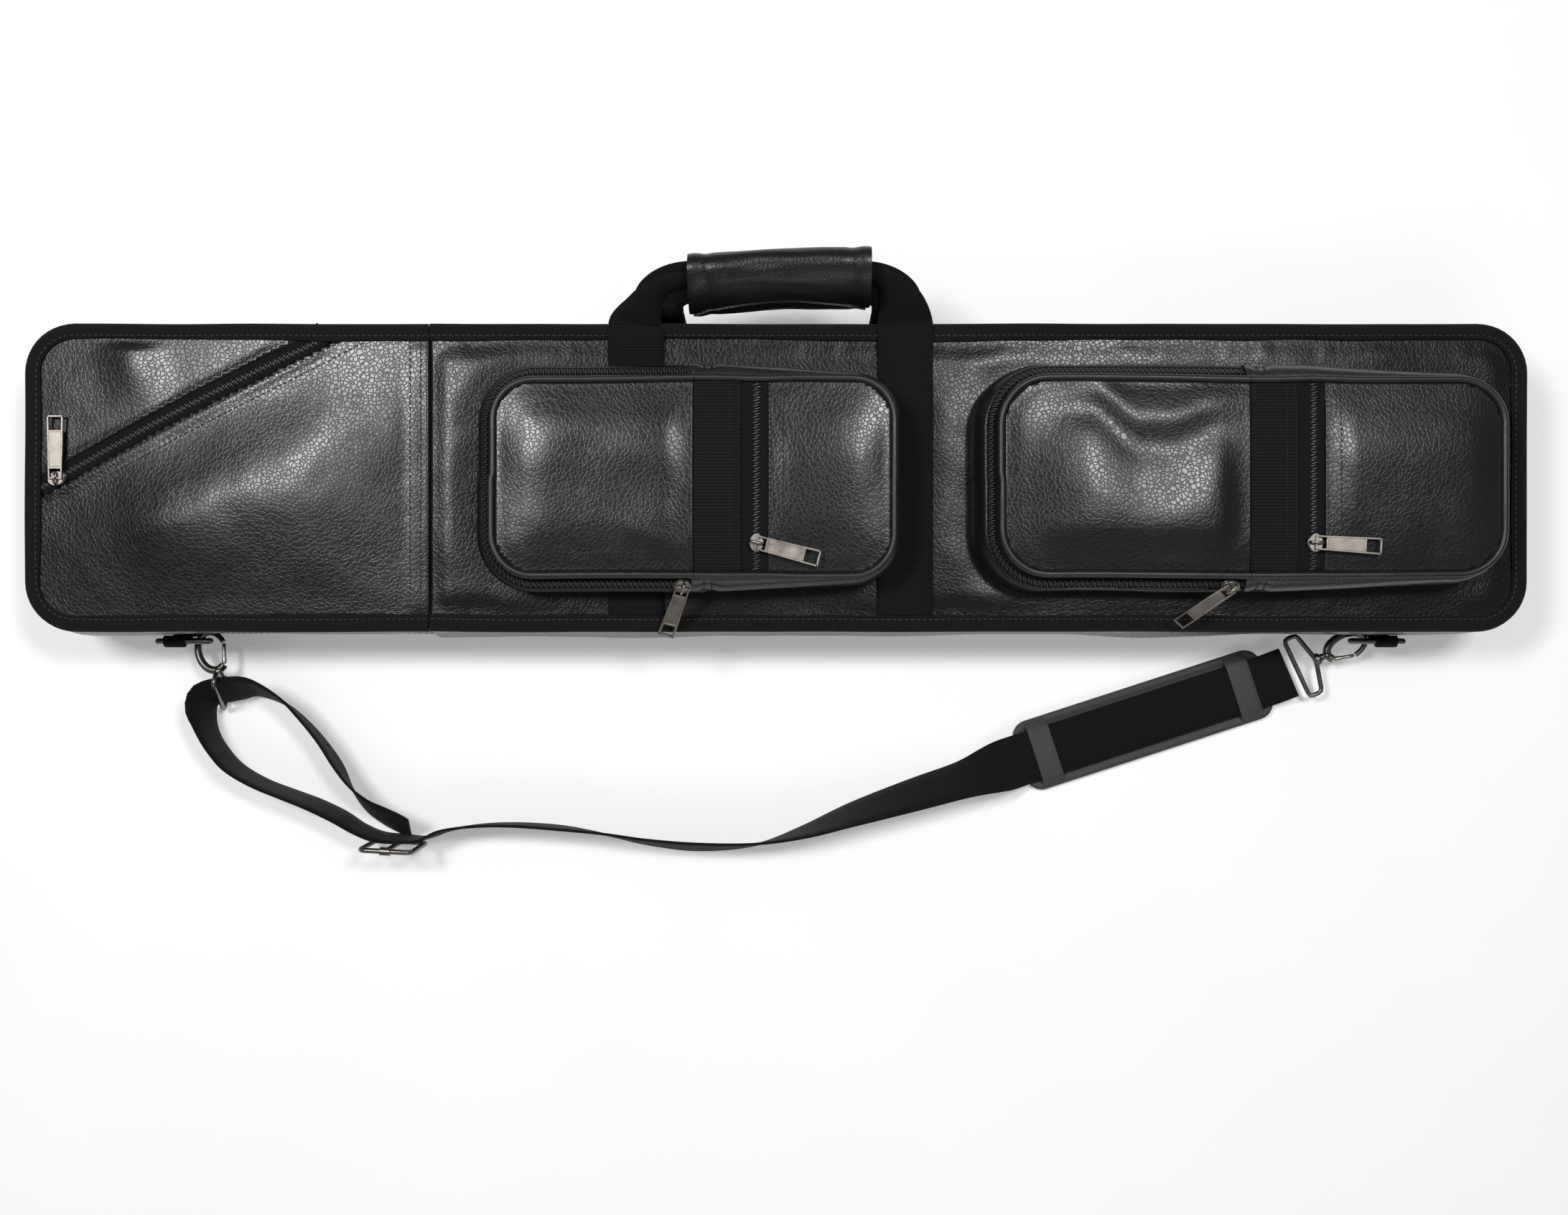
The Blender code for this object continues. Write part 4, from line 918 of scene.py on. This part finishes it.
def add_pocket(name):
    rect, hinge, strip_end, zip_end = pocket_shape(name)
    x0, x1, y0, y1, radius = rect
    wave, height = pocket_wave(name), face_height(name)
    flap_body = f"{name}_flap"
    flare = 8.0 * MM if name == "large" else 5.0 * MM

    # The zip band leans out under the piping, and the gusset falls from it to the front panel.
    left = outline(rect, 0.003, "left", hinge + 6 * MM)
    tape_path = []
    for x, y, nx, ny in left:
        shift, out = 2.8 * MM + wave(x, y) * 0.5, Vector((nx, ny, 0))
        up = (out * LEAN_OUT + Z_AXIS * LEAN_UP).normalized()
        across = (out * LEAN_UP - Z_AXIS * LEAN_OUT).normalized()
        tape_path.append((Vector((x + nx * shift, y + ny * shift, POCKET_ZIP_Z)), across, up))
    band = fixed((-4.2, -1.1), (-2.5, -0.75), (2.6, -0.7), (4.3, -0.9), (4.3, -1.8), (-4.2, -1.9))
    swept(f"{name}_zip_tape", tape_path, band, "tape", "case", [f"{name}_side_zip"])
    teeth(f"{name}_zip_teeth", [(p - up * 0.2 * MM, up) for p, _, up in tape_path], "case")

    def gusset(s, k):
        lean = (flare * max(0.0, -left[k][2]) + 1.0 * MM) / MM
        fold = ripple(11 + len(name), s, 16, 1.0 * MM)
        face = [
            (2.6 + lean, -22.6), (4.6 + lean * 0.9, -19.0), (6.2 + lean * 0.6, -13.0),
            (7.0 + lean * 0.3, -7.5), (6.6, -4.2), (5.4, -2.9),
        ]
        rows = [(a + fold * math.sin(math.pi * n / 5), b) for n, (a, b) in enumerate(mm(face))]
        return rows + mm([(3.6, -2.9), (-2.0, -8.0), (-2.0, -22.6)])

    gusset_path = at_height(left, POCKET_ZIP_Z, 0.0, lambda x, y: wave(x, y) * 0.5)
    swept(f"{name}_gusset_left", gusset_path, gusset, "leather_smooth", "case", [f"{name}_pocket_wall"])

    right = outline(rect, 0.003, "right", hinge - 1.5 * MM)
    right_path = at_height(right, 0.0, 0.0, lambda x, y: wave(x, y) * 0.6)

    def roll(s, k):
        """The stitched leather roll past the end of the zip, which narrows towards the right end."""
        x = right[k][0]
        fat = 1.2 + 4.6 * (1 - ease((x - hinge) / (x1 - hinge - 0.012)))
        pinch = 1 - 0.30 * swell(x - hinge - 5.5 * MM, 0.0022) - 0.25 * swell(x - hinge - 9.5 * MM, 0.0020)
        fold = ripple(17, s, 20, 0.6)
        return mm([
            (1.8, 65.3), (2.4 + fat * 0.5 + fold, 70.5), (2.6 + fat * 0.65 + fold, 77.0), (2.0 + fat * 0.85, 82.5),
            (1.4 + fat * 1.02 * pinch, 86.2), (0.9 + fat * 0.98 * pinch, 89.0), (0.2 + fat * 0.66 * pinch, 91.6),
            (-0.4 + fat * 0.25, 93.2), (-2.0, 93.5), (-3.2, 92.0), (-3.2, 65.3),
        ])

    # The roll uses the leather whose lighter tint is painted light.
    swept(f"{name}_gusset_right", right_path, roll, "leather_welt_painted_light", "case")
    rows = []
    for way in (1, -1):
        y, ny = next((y, ny) for x, y, _, ny in right if ny == way and hinge < x < hinge + 14 * MM)
        up = Vector((0, ny * 0.8, 0.6)).normalized()
        for x in (hinge + 5.5 * MM, hinge + 9.5 * MM):
            rows.append([
                (Vector((x, y + ny * (out * MM + wave(x, y) * 0.6), z * MM)), up)
                for out, z in ((1.05, 93.2), (3.85, 91.9), (5.85, 89.3), (6.25, 86.3), (5.15, 82.6))
            ])
    stitches(f"{name}_gusset_stitches", rows, "case", pitch=2.6 * MM)

    # Piping round the face: one run on the fixed end, one on the flap.
    for part, side, cut, body, node in (
        ("piping_fixed", "right", hinge + 0.15 * MM, "case", "piping"),
        ("piping_moving", "left", hinge - 0.15 * MM, flap_body, "flap_piping"),
    ):
        path = at_height(outline(rect, 0.003, side, cut), PIPING_Z, -PIPING_R, wave)
        swept(f"{name}_{part}", path, lambda s, k: round_section(PIPING_R * (1 + ripple(2, s, 60, 0.05)), 12),
              "piping", body, [f"{name}_{node}"])

    def follow(x, y):
        """The face follows the piping's waves near its edge."""
        share = 1 - ease(inside(x, y, rect) / 0.02)
        middle_y = (y0 + y1) / 2
        out_y = share * wave(x, y) * (1 if y > middle_y else -1)
        return x, y + out_y * ease((abs(y - middle_y) - 0.03) / 0.02)

    inset = 3.2 * MM
    face = (x0 + inset, x1 - inset, y0 + inset, y1 - inset, radius - inset)

    def cover(part, top, material, body, node, cuts, thick):
        return panel(f"{name}_{part}", face, top, material, body, [f"{name}_{node}"], thick, 2 * MM, cuts, follow)

    def zip_top(x, y):
        return min(height(x, y), FACE_TOP - 0.9 * MM)

    look, thick = f"leather_{name}", 1.6 * MM
    flap = cover("flap_cover", height, look, flap_body, "flap", [((hinge - 0.3 * MM, 0), (-1, 0))], thick)
    lip = at_height(outline(rect, 0.004, "left", hinge - 0.3 * MM), 0.0, -1.2 * MM, wave)
    lip_section = fixed((-1.6, 92.6), (0.2, 92.4), (0.5, 93.2), (0.2, 94.4), (-2.4, 95.4), (-3.2, 94.6))
    swept(f"{name}_flap_lip", lip, lip_section, "leather_smooth", flap_body)
    cover("right_cover", height, look, "case", "right_panel", [((zip_end + 0.8 * MM, 0), (1, 0))], thick)
    cover("ribbed_strip", lambda x, y: height(x, y) + 0.1 * MM, "strip", "case", "web_strip",
          [((hinge, 0), (1, 0)), ((strip_end, 0), (-1, 0))], 1.2 * MM)
    cover("face_zip_tape", lambda x, y: zip_top(x, y) - 0.6 * MM, "tape", "case", "face_zip",
          [((strip_end - 2 * MM, 0), (1, 0)), ((zip_end + 2 * MM, 0), (-1, 0))], 0.8 * MM)

    zip_x = ZIPS[f"{name}_face"][0].x
    y_low, y_high = face[2] + 1.5 * MM, face[3] - 1.5 * MM
    column = [y_low + (y_high - y_low) * k / 40 for k in range(41)]
    teeth(f"{name}_face_teeth", on_surface([(zip_x, y) for y in column], zip_top, -0.55 * MM), "case")
    rows = [on_surface([(x, y) for y in column], height, 0.05 * MM) for x in (zip_end + 2.0 * MM, zip_end + 9.4 * MM)]
    stitches(f"{name}_face_stitches", rows, "case", pitch=3.0 * MM)
    places = (strip_end - 1.6 * MM, strip_end - 6.5 * MM)
    rows = [on_surface([(x, y) for y in column], height, 0.15 * MM) for x in places]
    stitches(f"{name}_strip_stitches", rows, "case", 2.6 * MM, 0.4 * MM)


def handle_at(x, r, lift=0.0):
    """A point in the handle's own plane: x along the case, r out from its pivot, lift off that plane."""
    return Vector((x, 0, 0)) + Vector((0, HANDLE_BASE.y, HANDLE_BASE.z)) + REACH * r + FACING * lift


def sleeve_reach(t):
    """How far out the sleeve's middle lies: it bows a little, and its right end hangs higher."""
    return SLEEVE_REACH + 1.2 * MM * math.sin(math.pi * t) + 2.6 * MM * (2 * t - 1)


def add_webbing_loops():
    """The front loop runs up the case and through the sleeve, and the back one rises inside it."""
    left, right = STRAP_X
    half = CASE[3] - 8 * MM

    def run_up(x, inward, shoulder):
        """The strap up the front, over the binding, then folding narrower on its way into the sleeve."""
        points = [
            (x, y, max(front_height(x, y), FRONT_TOP) + 0.5 * MM, 1.0)
            for y in (-half + (0.066 + half) * k / 9 for k in range(10))
        ]
        points += [(x, HANDLE_FOOT_Y, FRONT_TOP + 2.2 * MM, 1.0), (x, 0.0840, FRONT_TOP + 2.6 * MM, 1.0)]
        for dx, r, lift, share in shoulder:
            points.append((*handle_at(x + inward * dx * MM, r * MM, lift * MM), share))
        return points

    first = run_up(left, 1, (
        (0.3, 2.5, 1.4, 0.97), (2.0, 7.0, 1.2, 0.86), (4.8, 12.5, 1.0, 0.70), (7.8, 18.0, 0.8, 0.57),
        (11.5, 23.0, 0.6, 0.48), (16.5, 27.5, 0.5, 0.42), (23.0, 30.5, 0.4, 0.38), (31.0, 31.5, 0.2, 0.36),
    ))
    last = run_up(right, -1, (
        (0.2, 2.5, 1.4, 0.99), (0.8, 7.0, 1.2, 0.95), (2.0, 12.5, 1.0, 0.88), (4.0, 18.5, 0.8, 0.78),
        (7.5, 25.0, 0.6, 0.62), (12.5, 31.0, 0.5, 0.47), (19.0, 35.0, 0.4, 0.39), (26.0, 36.0, 0.2, 0.36),
    ))
    middle = [(*handle_at(x, sleeve_reach(0.5 + x / 0.102)), 0.36) for x in (-0.036, -0.012, 0.012, 0.032)]
    stations = smooth_path(first + middle + last[::-1], 260)
    path = rod_path([Vector(p[:3]) for p in stations],
                    lambda p: Z_AXIS.lerp(FACING, ease((p.y - HANDLE_FOOT_Y) / 0.014)).normalized())

    def folded(s, k):
        """The strap's section, whose edges fold down as it narrows."""
        share = stations[k][3]
        flat = flat_section(WEB_HALF, WEB_THICK)
        return [(a * share, b - 6.0 * MM * (1 - share) * (a / WEB_HALF) ** 2) for a, b in flat]

    strap = swept("handle_webbing", path, folded, "webbing", None,
                  ["handle_strap_left", "handle_strap_right", "handle_loop_front"])
    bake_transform(strap)

    def rise(x, inward):
        points = [(x, 0.0922, 0.0085), (x, 0.0924, 0.0250), (x, 0.0926, 0.0430), (x, 0.0940, 0.0580)]
        for dx, r in ((0.0002, 0.0100), (0.0010, 0.0165), (0.0050, 0.0225), (0.0120, 0.0270), (0.0210, 0.0288)):
            points.append(tuple(handle_at(x + inward * dx, r, BACK_LOOP_LIFT)))
        return points

    middle = [tuple(handle_at(x, 0.0290, BACK_LOOP_LIFT)) for x in (-0.030, 0.0, 0.030)]
    points = smooth_path(rise(left + 0.013, 1) + middle + rise(right - 0.0050, -1)[::-1], 150)
    path = rod_path([Vector(p) for p in points],
                    lambda p: Vector((0, 1, 0)).lerp(FACING, ease((p.z - 0.050) / 0.020)).normalized())
    back = swept("handle_webbing_back", path, lambda s, k: flat_section(14.5 * MM, WEB_THICK), "webbing", None,
                 ["handle_loop_back"])
    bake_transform(back)


def add_sleeve():
    start, length = SLEEVE_X[0], SLEEVE_X[1] - SLEEVE_X[0]

    def arc(first, last, grow, steps, s):
        """The sleeve's oval from one angle to another, at a length along it."""
        middle = 2 * s / length - 1
        hem = 0.5 * MM * swell(abs(middle) - 0.93, 0.06) - 0.5 * MM * swell(abs(middle) - 0.80, 0.05)
        points = []
        for a in (math.radians(first + (last - first) * k / steps) for k in range(steps + 1)):
            dent = ripple(31 + math.cos(a), s, 45, 0.5 * MM) - 1.0 * MM * swell(middle, 0.5) * max(0.0, -math.cos(a))
            out = grow + hem + dent
            points.append(((19 * MM + out) * math.cos(a), (11.5 * MM + out) * math.sin(a)))
        return points

    def shell(first, last, outer, inner, steps, s):
        """A curved sheet's section: its outer line, then its inner line back, with (outer, inner) steps."""
        return arc(first, last, outer, steps[0], s) + arc(first, last, inner, steps[1], s)[::-1]

    def lap(s):
        """Where round the sleeve its flap's edge lies: high in the middle and low at the ends."""
        return 112 + 34 * abs(2 * s / length - 1 + 0.08) ** 2.4

    path = [(handle_at(start + length * t, sleeve_reach(t)), REACH, FACING) for t in (k / 44 for k in range(45))]
    sleeve = swept("handle_sleeve_cover", path, lambda s, k: shell(-96, lap(s) + 5, 0, -1.7 * MM, (30, 14), s),
                   "leather_smooth", "handle", ["handle_sleeve"])
    swept("sleeve_flap_cover", path[1:-1], lambda s, k: shell(lap(s), 262, 1.1 * MM, -0.7 * MM, (22, 11), s),
          "leather_smooth", "sleeve_flap", ["sleeve_flap"])
    rows = []
    for x in (start + 9 * MM, SLEEVE_X[1] - 9 * MM):
        s = x - start
        centre = handle_at(x, sleeve_reach(s / length))
        for first, last in ((98, 130), (20, 45)):
            rows.append([
                (centre + REACH * a + FACING * b, (REACH * a * 0.4 + FACING * b).normalized())
                for a, b in arc(first, last, 0.0, 8, s)
            ])
    stitches("sleeve_stitches", rows, "handle", pitch=2.8 * MM)


def add_zip_hardware(name):
    origin, travel, out, heading = ZIPS[name]
    place, pull_place = frame_of(origin, travel, out), frame_of(origin, heading, out)
    gap, top = 0.35 * MM, 0.35 * MM + 2.9 * MM
    plan = []
    for a in (math.tau * k / 20 for k in range(20)):
        plan.append((5.2 * MM * math.cos(a), 4.0 * MM * math.sin(a) * (1.0 - 0.22 * max(0.0, math.cos(a)) ** 2)))
    inner = [(x * 0.62, y * 0.60) for x, y in plan]
    side_view = ((-3.3, -0.8), (-3.4, 0.7), (-2.8, 2.4), (-0.9, 3.1), (1.0, 3.1), (2.8, 2.4), (3.4, 0.7), (3.3, -0.8))
    arch = [pull_place @ (Vector((x, 0, z)) * MM + Vector((0, 0, top))) for x, z in side_view]
    joined(f"{name}_slider_body", [
        prism(plan, gap, gap + 1.1 * MM, place), prism(plan, gap + 1.7 * MM, top, place),
        prism(inner, gap + 0.9 * MM, gap + 1.9 * MM, place),
        tube(arch, 0.85 * MM, pull_place.to_3x3() @ Vector((0, 1, 0)), sides=8),
    ], "metal", f"{name}_slider", [f"{name}_slider"], 0.25 * MM)

    # The pull is a frame of four bars with a thin plate and two cross bars inside it.
    level, length = 4.3 * MM, 36.0 * MM
    shapes = []
    for x0, x1, y0, y1, z0, z1 in (
        (-0.7, 36, -4.0, -3.0, -0.65, 0.65), (-0.7, 36, 3.0, 4.0, -0.65, 0.65), (-0.7, 0.5, -3.9, 3.9, -0.60, 0.60),
        (34.9, 36.1, -4.0, 4.0, -0.65, 0.65), (5.6, 27.2, -3.3, 3.3, -0.50, 0.34), (5.2, 6.6, -3.3, 3.3, -0.60, 0.62),
        (26.4, 27.6, -3.3, 3.3, -0.60, 0.62),
    ):
        shapes.append(brick(x0 * MM, x1 * MM, y0 * MM, y1 * MM, level + z0 * MM, level + z1 * MM, pull_place,
                            lambda x: 1 + 0.19 * x / length))
    joined(f"{name}_pull_tab", shapes, "metal", f"{name}_pull", [f"{name}_pull"], 0.22 * MM)


def add_ring(side):
    x, shift = RINGS[side]
    half, depth = 15 * MM, 18 * MM
    points = [Vector((x - half + 2 * half * k / 8, RING_Y, RING_Z)) for k in range(9)]
    for a in (math.pi * k / 16 for k in range(1, 16)):
        points.append(Vector((x + half * math.cos(a), RING_Y, RING_Z - depth * math.sin(a))))
    joined(f"d_ring_{side}_wire", [tube(points, 1.75 * MM, Vector((0, 1, 0)), True, 14)], "dark_metal",
           f"d_ring_{side}", [f"d_ring_{side}"])

    def fold(radius):
        """The tab's turn round the ring's straight side."""
        return [
            (RING_Y + radius * math.cos(math.radians(a)), RING_Z + radius * math.sin(math.radians(a)))
            for a in range(20, 221, 20)
        ]

    wall_face = CASE[2] - 3.9 * MM
    outer = fold(3.7 * MM) + [(wall_face - 2.1 * MM, 0.0150), (wall_face - 2.0 * MM, 0.0042)]
    inner = fold(2.1 * MM) + [(wall_face - 0.6 * MM, 0.0170), (wall_face - 0.3 * MM, 0.0042)]
    steps = (-6.0, -5.6, -2.0, 2.0, 5.6, 6.0)
    path = [(Vector((x + shift + dx * MM, 0, 0)), Vector((0, 1, 0)), Z_AXIS) for dx in steps]

    def section(s, k):
        edge = 0.25 * MM if k in (0, 5) else 0.0
        return [(y + edge, z) for y, z in outer] + [(y - edge, z) for y, z in reversed(inner)]

    swept(f"ring_tab_{side}_webbing", path, section, "webbing", "case", [f"ring_tab_{side}"])


def add_hook(side):
    """A swivel hook: its claw with a post, its sprung gate, and the loop that the strap goes through."""
    tip, way, half, bar, bar_way = HOOKS[side]
    way, bar_way = way.normalized(), bar_way.normalized()
    lateral = Z_AXIS.cross(way).normalized()
    up = lateral.cross(way).normalized()
    reach = 12 * MM

    def at(degrees):
        a = math.radians(degrees)
        return tip + way * (reach - reach * math.cos(a)) + lateral * half * math.sin(a)

    claw = tube([at(75 - 285 * k / 36) for k in range(37)], [1.6 + 0.9 * ease(k / 30) for k in range(37)], up, sides=12)
    post_points = [at(180) - way * 1.5 * MM + way * d * MM for d in (0, 1.2, 2.2, 3.2, 3.7, 4.4, 5.2, 6.0)]
    post = tube(post_points, (1.6, 2.7, 3.0, 2.9, 2.1, 2.0, 2.5, 2.3), up, sides=14)
    claw = joined(f"{side}_hook_claw", [claw, post], "dark_metal", f"{side}_hook", [f"{side}_hook"])
    gate_points = [at(148).lerp(at(80), t) for t in (0.03, 0.15, 0.4, 0.7, 0.93, 0.99)]
    gate = joined(f"{side}_hook_gate", [tube(gate_points, (1.2, 1.5, 1.2, 1.1, 1.25, 0.9), up)], "metal",
                  f"{side}_gate", [f"{side}_gate"])

    neck = tip + way * 31.5 * MM
    back = neck - bar
    back = (back - bar_way * back.dot(bar_way)).normalized()
    a, b = bar + bar_way * 19 * MM, bar - bar_way * 19 * MM
    corners = [neck, a + back * 7.8 * MM, a, b, b + back * 7.8 * MM]
    ring = []
    for k, corner in enumerate(corners):
        before, after = corners[k - 1], corners[(k + 1) % 5]
        size = min(2.4 * MM, (corner - before).length * 0.35, (corner - after).length * 0.35)
        first, last = corner + (before - corner).normalized() * size, corner + (after - corner).normalized() * size
        ring += [first, (first + last + corner * 2) / 4, last]
    eye = tube(ring, 1.45 * MM, back.cross(bar_way).normalized(), True)
    collar_points = [tip + way * d * MM for d in (28.8, 29.2, 30.0, 31.6, 32.3, 32.8)]
    collar = tube(collar_points, (2.6, 3.5, 3.8, 3.8, 3.3, 1.8), up, sides=16)
    return [claw, gate, joined(f"{side}_hook_loop", [eye, collar], "dark_metal", "case", [f"{side}_hook_eye"])]


def strap_frames():
    """(place, across, up) along the shoulder strap, whose lean turns it from on edge to flat."""
    thick = STRAP_THICK / 2
    route = []
    for x, y, lean, lift in STRAP_ROUTE:
        a = math.radians(abs(lean))
        route.append((x, y, STRAP_CLEARANCE + WEB_HALF * math.cos(a) + thick * math.sin(a) + lift, lean))
    points = smooth_path(route, 260)
    frames = []
    for k, (x, y, z, lean) in enumerate(points):
        before, after = points[max(k - 1, 0)], points[min(k + 1, len(points) - 1)]
        way = (Vector(after[:3]) - Vector(before[:3])).normalized()
        right = way.cross(Z_AXIS).normalized()
        standing = right.cross(way).normalized()
        a = math.radians(lean)
        wide = (standing * math.cos(a) + right * math.sin(a)).normalized()
        frames.append((Vector((x, y, z)), wide, wide.cross(way).normalized()))
    return frames


def add_pad():
    """The shoulder pad: a soft plate in layers, and two bands across it that the strap runs under."""
    length, width, corner, low = 160 * MM, 44 * MM, 10 * MM, 0.4 * MM
    place = Matrix.Translation(PAD_START) @ Matrix.Rotation(PAD_HEADING, 4, "Z")
    layers = (
        (-1.5, 0.0), (-0.4, 0.3), (0.0, 1.2), (0.0, 3.4), (-0.5, 4.3), (-1.6, 4.8),
        (-3.2, 4.7), (-4.4, 4.1), (-5.2, 3.9),
    )
    verts, faces, count = [], [], 36
    for out, z in layers:
        line = rounded(corner, length - corner, -width / 2 + corner, width / 2 - corner, corner + out * MM, 8)
        verts += [place @ Vector((x, y, low + z * MM)) for x, y in line]
    for ring in range(0, (len(layers) - 1) * count, count):
        for k in range(count):
            n = (k + 1) % count
            faces.append((ring + k, ring + n, ring + count + n, ring + count + k))
    faces.append(tuple(reversed(range(count))))
    faces.append(tuple(range((len(layers) - 1) * count, len(layers) * count)))
    pad = joined("pad_base", [(verts, faces)], "rubber", "shoulder_pad", ["shoulder_pad"])

    over = [
        (-21.0, 3.6), (-20.6, 5.2), (-18.0, 6.6), (-16.8, 8.6), (-14.5, 9.1), (0, 9.3), (14.5, 9.1), (16.8, 8.6),
        (18.0, 6.6), (20.6, 5.2), (21.0, 3.6),
    ]
    under = [(a * 0.93, b - 0.9) for a, b in reversed(over)]

    def section(s, k):
        drop = 0.35 if k in (0, 5) else 0.0
        return mm([(a, b - drop) for a, b in over] + under)

    across, bands = place.to_3x3() @ Vector((0, 1, 0)), []
    for start in (9.0, 137.5):
        steps = (0, 0.6, 4, 9.5, 12.9, 13.5)
        path = [(place @ Vector(((start + dx) * MM, 0, 0)), across, Z_AXIS) for dx in steps]
        bands.append(sweep(path, section)[:2])
    return [pad, joined("pad_bands", bands, "rubber", "shoulder_pad")]


def add_strap(hook_pieces):
    frames = strap_frames()
    scale = (WEB_HALF - 0.1 * MM) / WEB_HALF
    section = [(a * scale, b - STRAP_THICK / 2) for a, b in flat_section(WEB_HALF, STRAP_THICK)]
    strap = swept("shoulder_webbing", frames, lambda s, k: section, "webbing", "case", ["shoulder_strap"])
    on_it = [*add_pad(), add_buckle(), *hook_pieces]


def add_buckle():
    sine, cosine = math.sin(BUCKLE_HEADING), math.cos(BUCKLE_HEADING)
    place = frame_of(BUCKLE_CENTRE, (cosine, sine, 0), (sine, -cosine, 0))
    normal = place.to_3x3() @ Z_AXIS
    side_x, side_y, corner = 11.4 * MM, 14.4 * MM, 4.0 * MM
    line = rounded(-side_x, side_x, -side_y, side_y, corner, 5)
    ring = tube([place @ Vector((x, y, 0)) for x, y in line], 1.6 * MM, normal, True)
    bar = tube([place @ Vector((0, y * MM, 0)) for y in (-18.2, -9, 0, 9, 18.2)], 1.55 * MM, normal)
    collar_points = [place @ Vector((x * MM, 18.4 * MM, 0)) for x in (-3.4, -3.0, 3.0, 3.4)]
    collar = tube(collar_points, (2.0, 2.5, 2.5, 2.0), normal, sides=12)
    return joined("buckle_frame", [ring, bar, collar], "dark_metal", "slide_buckle", ["slide_buckle"])


def add_floor():
    mesh = bpy.data.meshes.new("floor")
    size = 4.0
    mesh.from_pydata([(-size, -size, 0), (size, -size, 0), (size, size, 0), (-size, size, 0)], [], [(0, 1, 2, 3)])
    floor = link(bpy.data.objects.new("floor", mesh))
    floor.data.materials.append(floor_material())


# ---------------------------------------------------------------- the scene
add_camera()
add_world()
add_light("window", (-0.71, 0.33, 1.56), (-0.2, 0.02, 0.08), (0.38, 0.26), 13)
add_light("second_window", (0.50, 0.38, 1.6), (0.22, 0.0, 0.1), (0.34, 0.24), 10)
add_light("fill", (0.3, -1.6, 1.5), (0, 0, 0), (1.4, 0.8), 5)
add_floor()
for tube_bank in ("butt_tube_bank", "shaft_tube_bank"):
    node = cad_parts[tube_bank]
    node.data.materials.clear()
    node.data.materials.append(MATERIALS["tube"])
add_strap(add_hook("left") + add_hook("right"))
add_back()
add_walls()
add_main_zip()
add_panels()
add_binding("front_edge_binding", "right", SEAM_X + 0.3 * MM, "case", "front_binding", 21)
add_binding("lid_edge_binding", "left", SEAM_X - 0.9 * MM, "lid", "lid_binding", 24)
for pocket in POCKETS:
    add_pocket(pocket)
add_webbing_loops()
add_sleeve()
for zip_name in ZIPS:
    add_zip_hardware(zip_name)
for ring_side in RINGS:
    add_ring(ring_side)
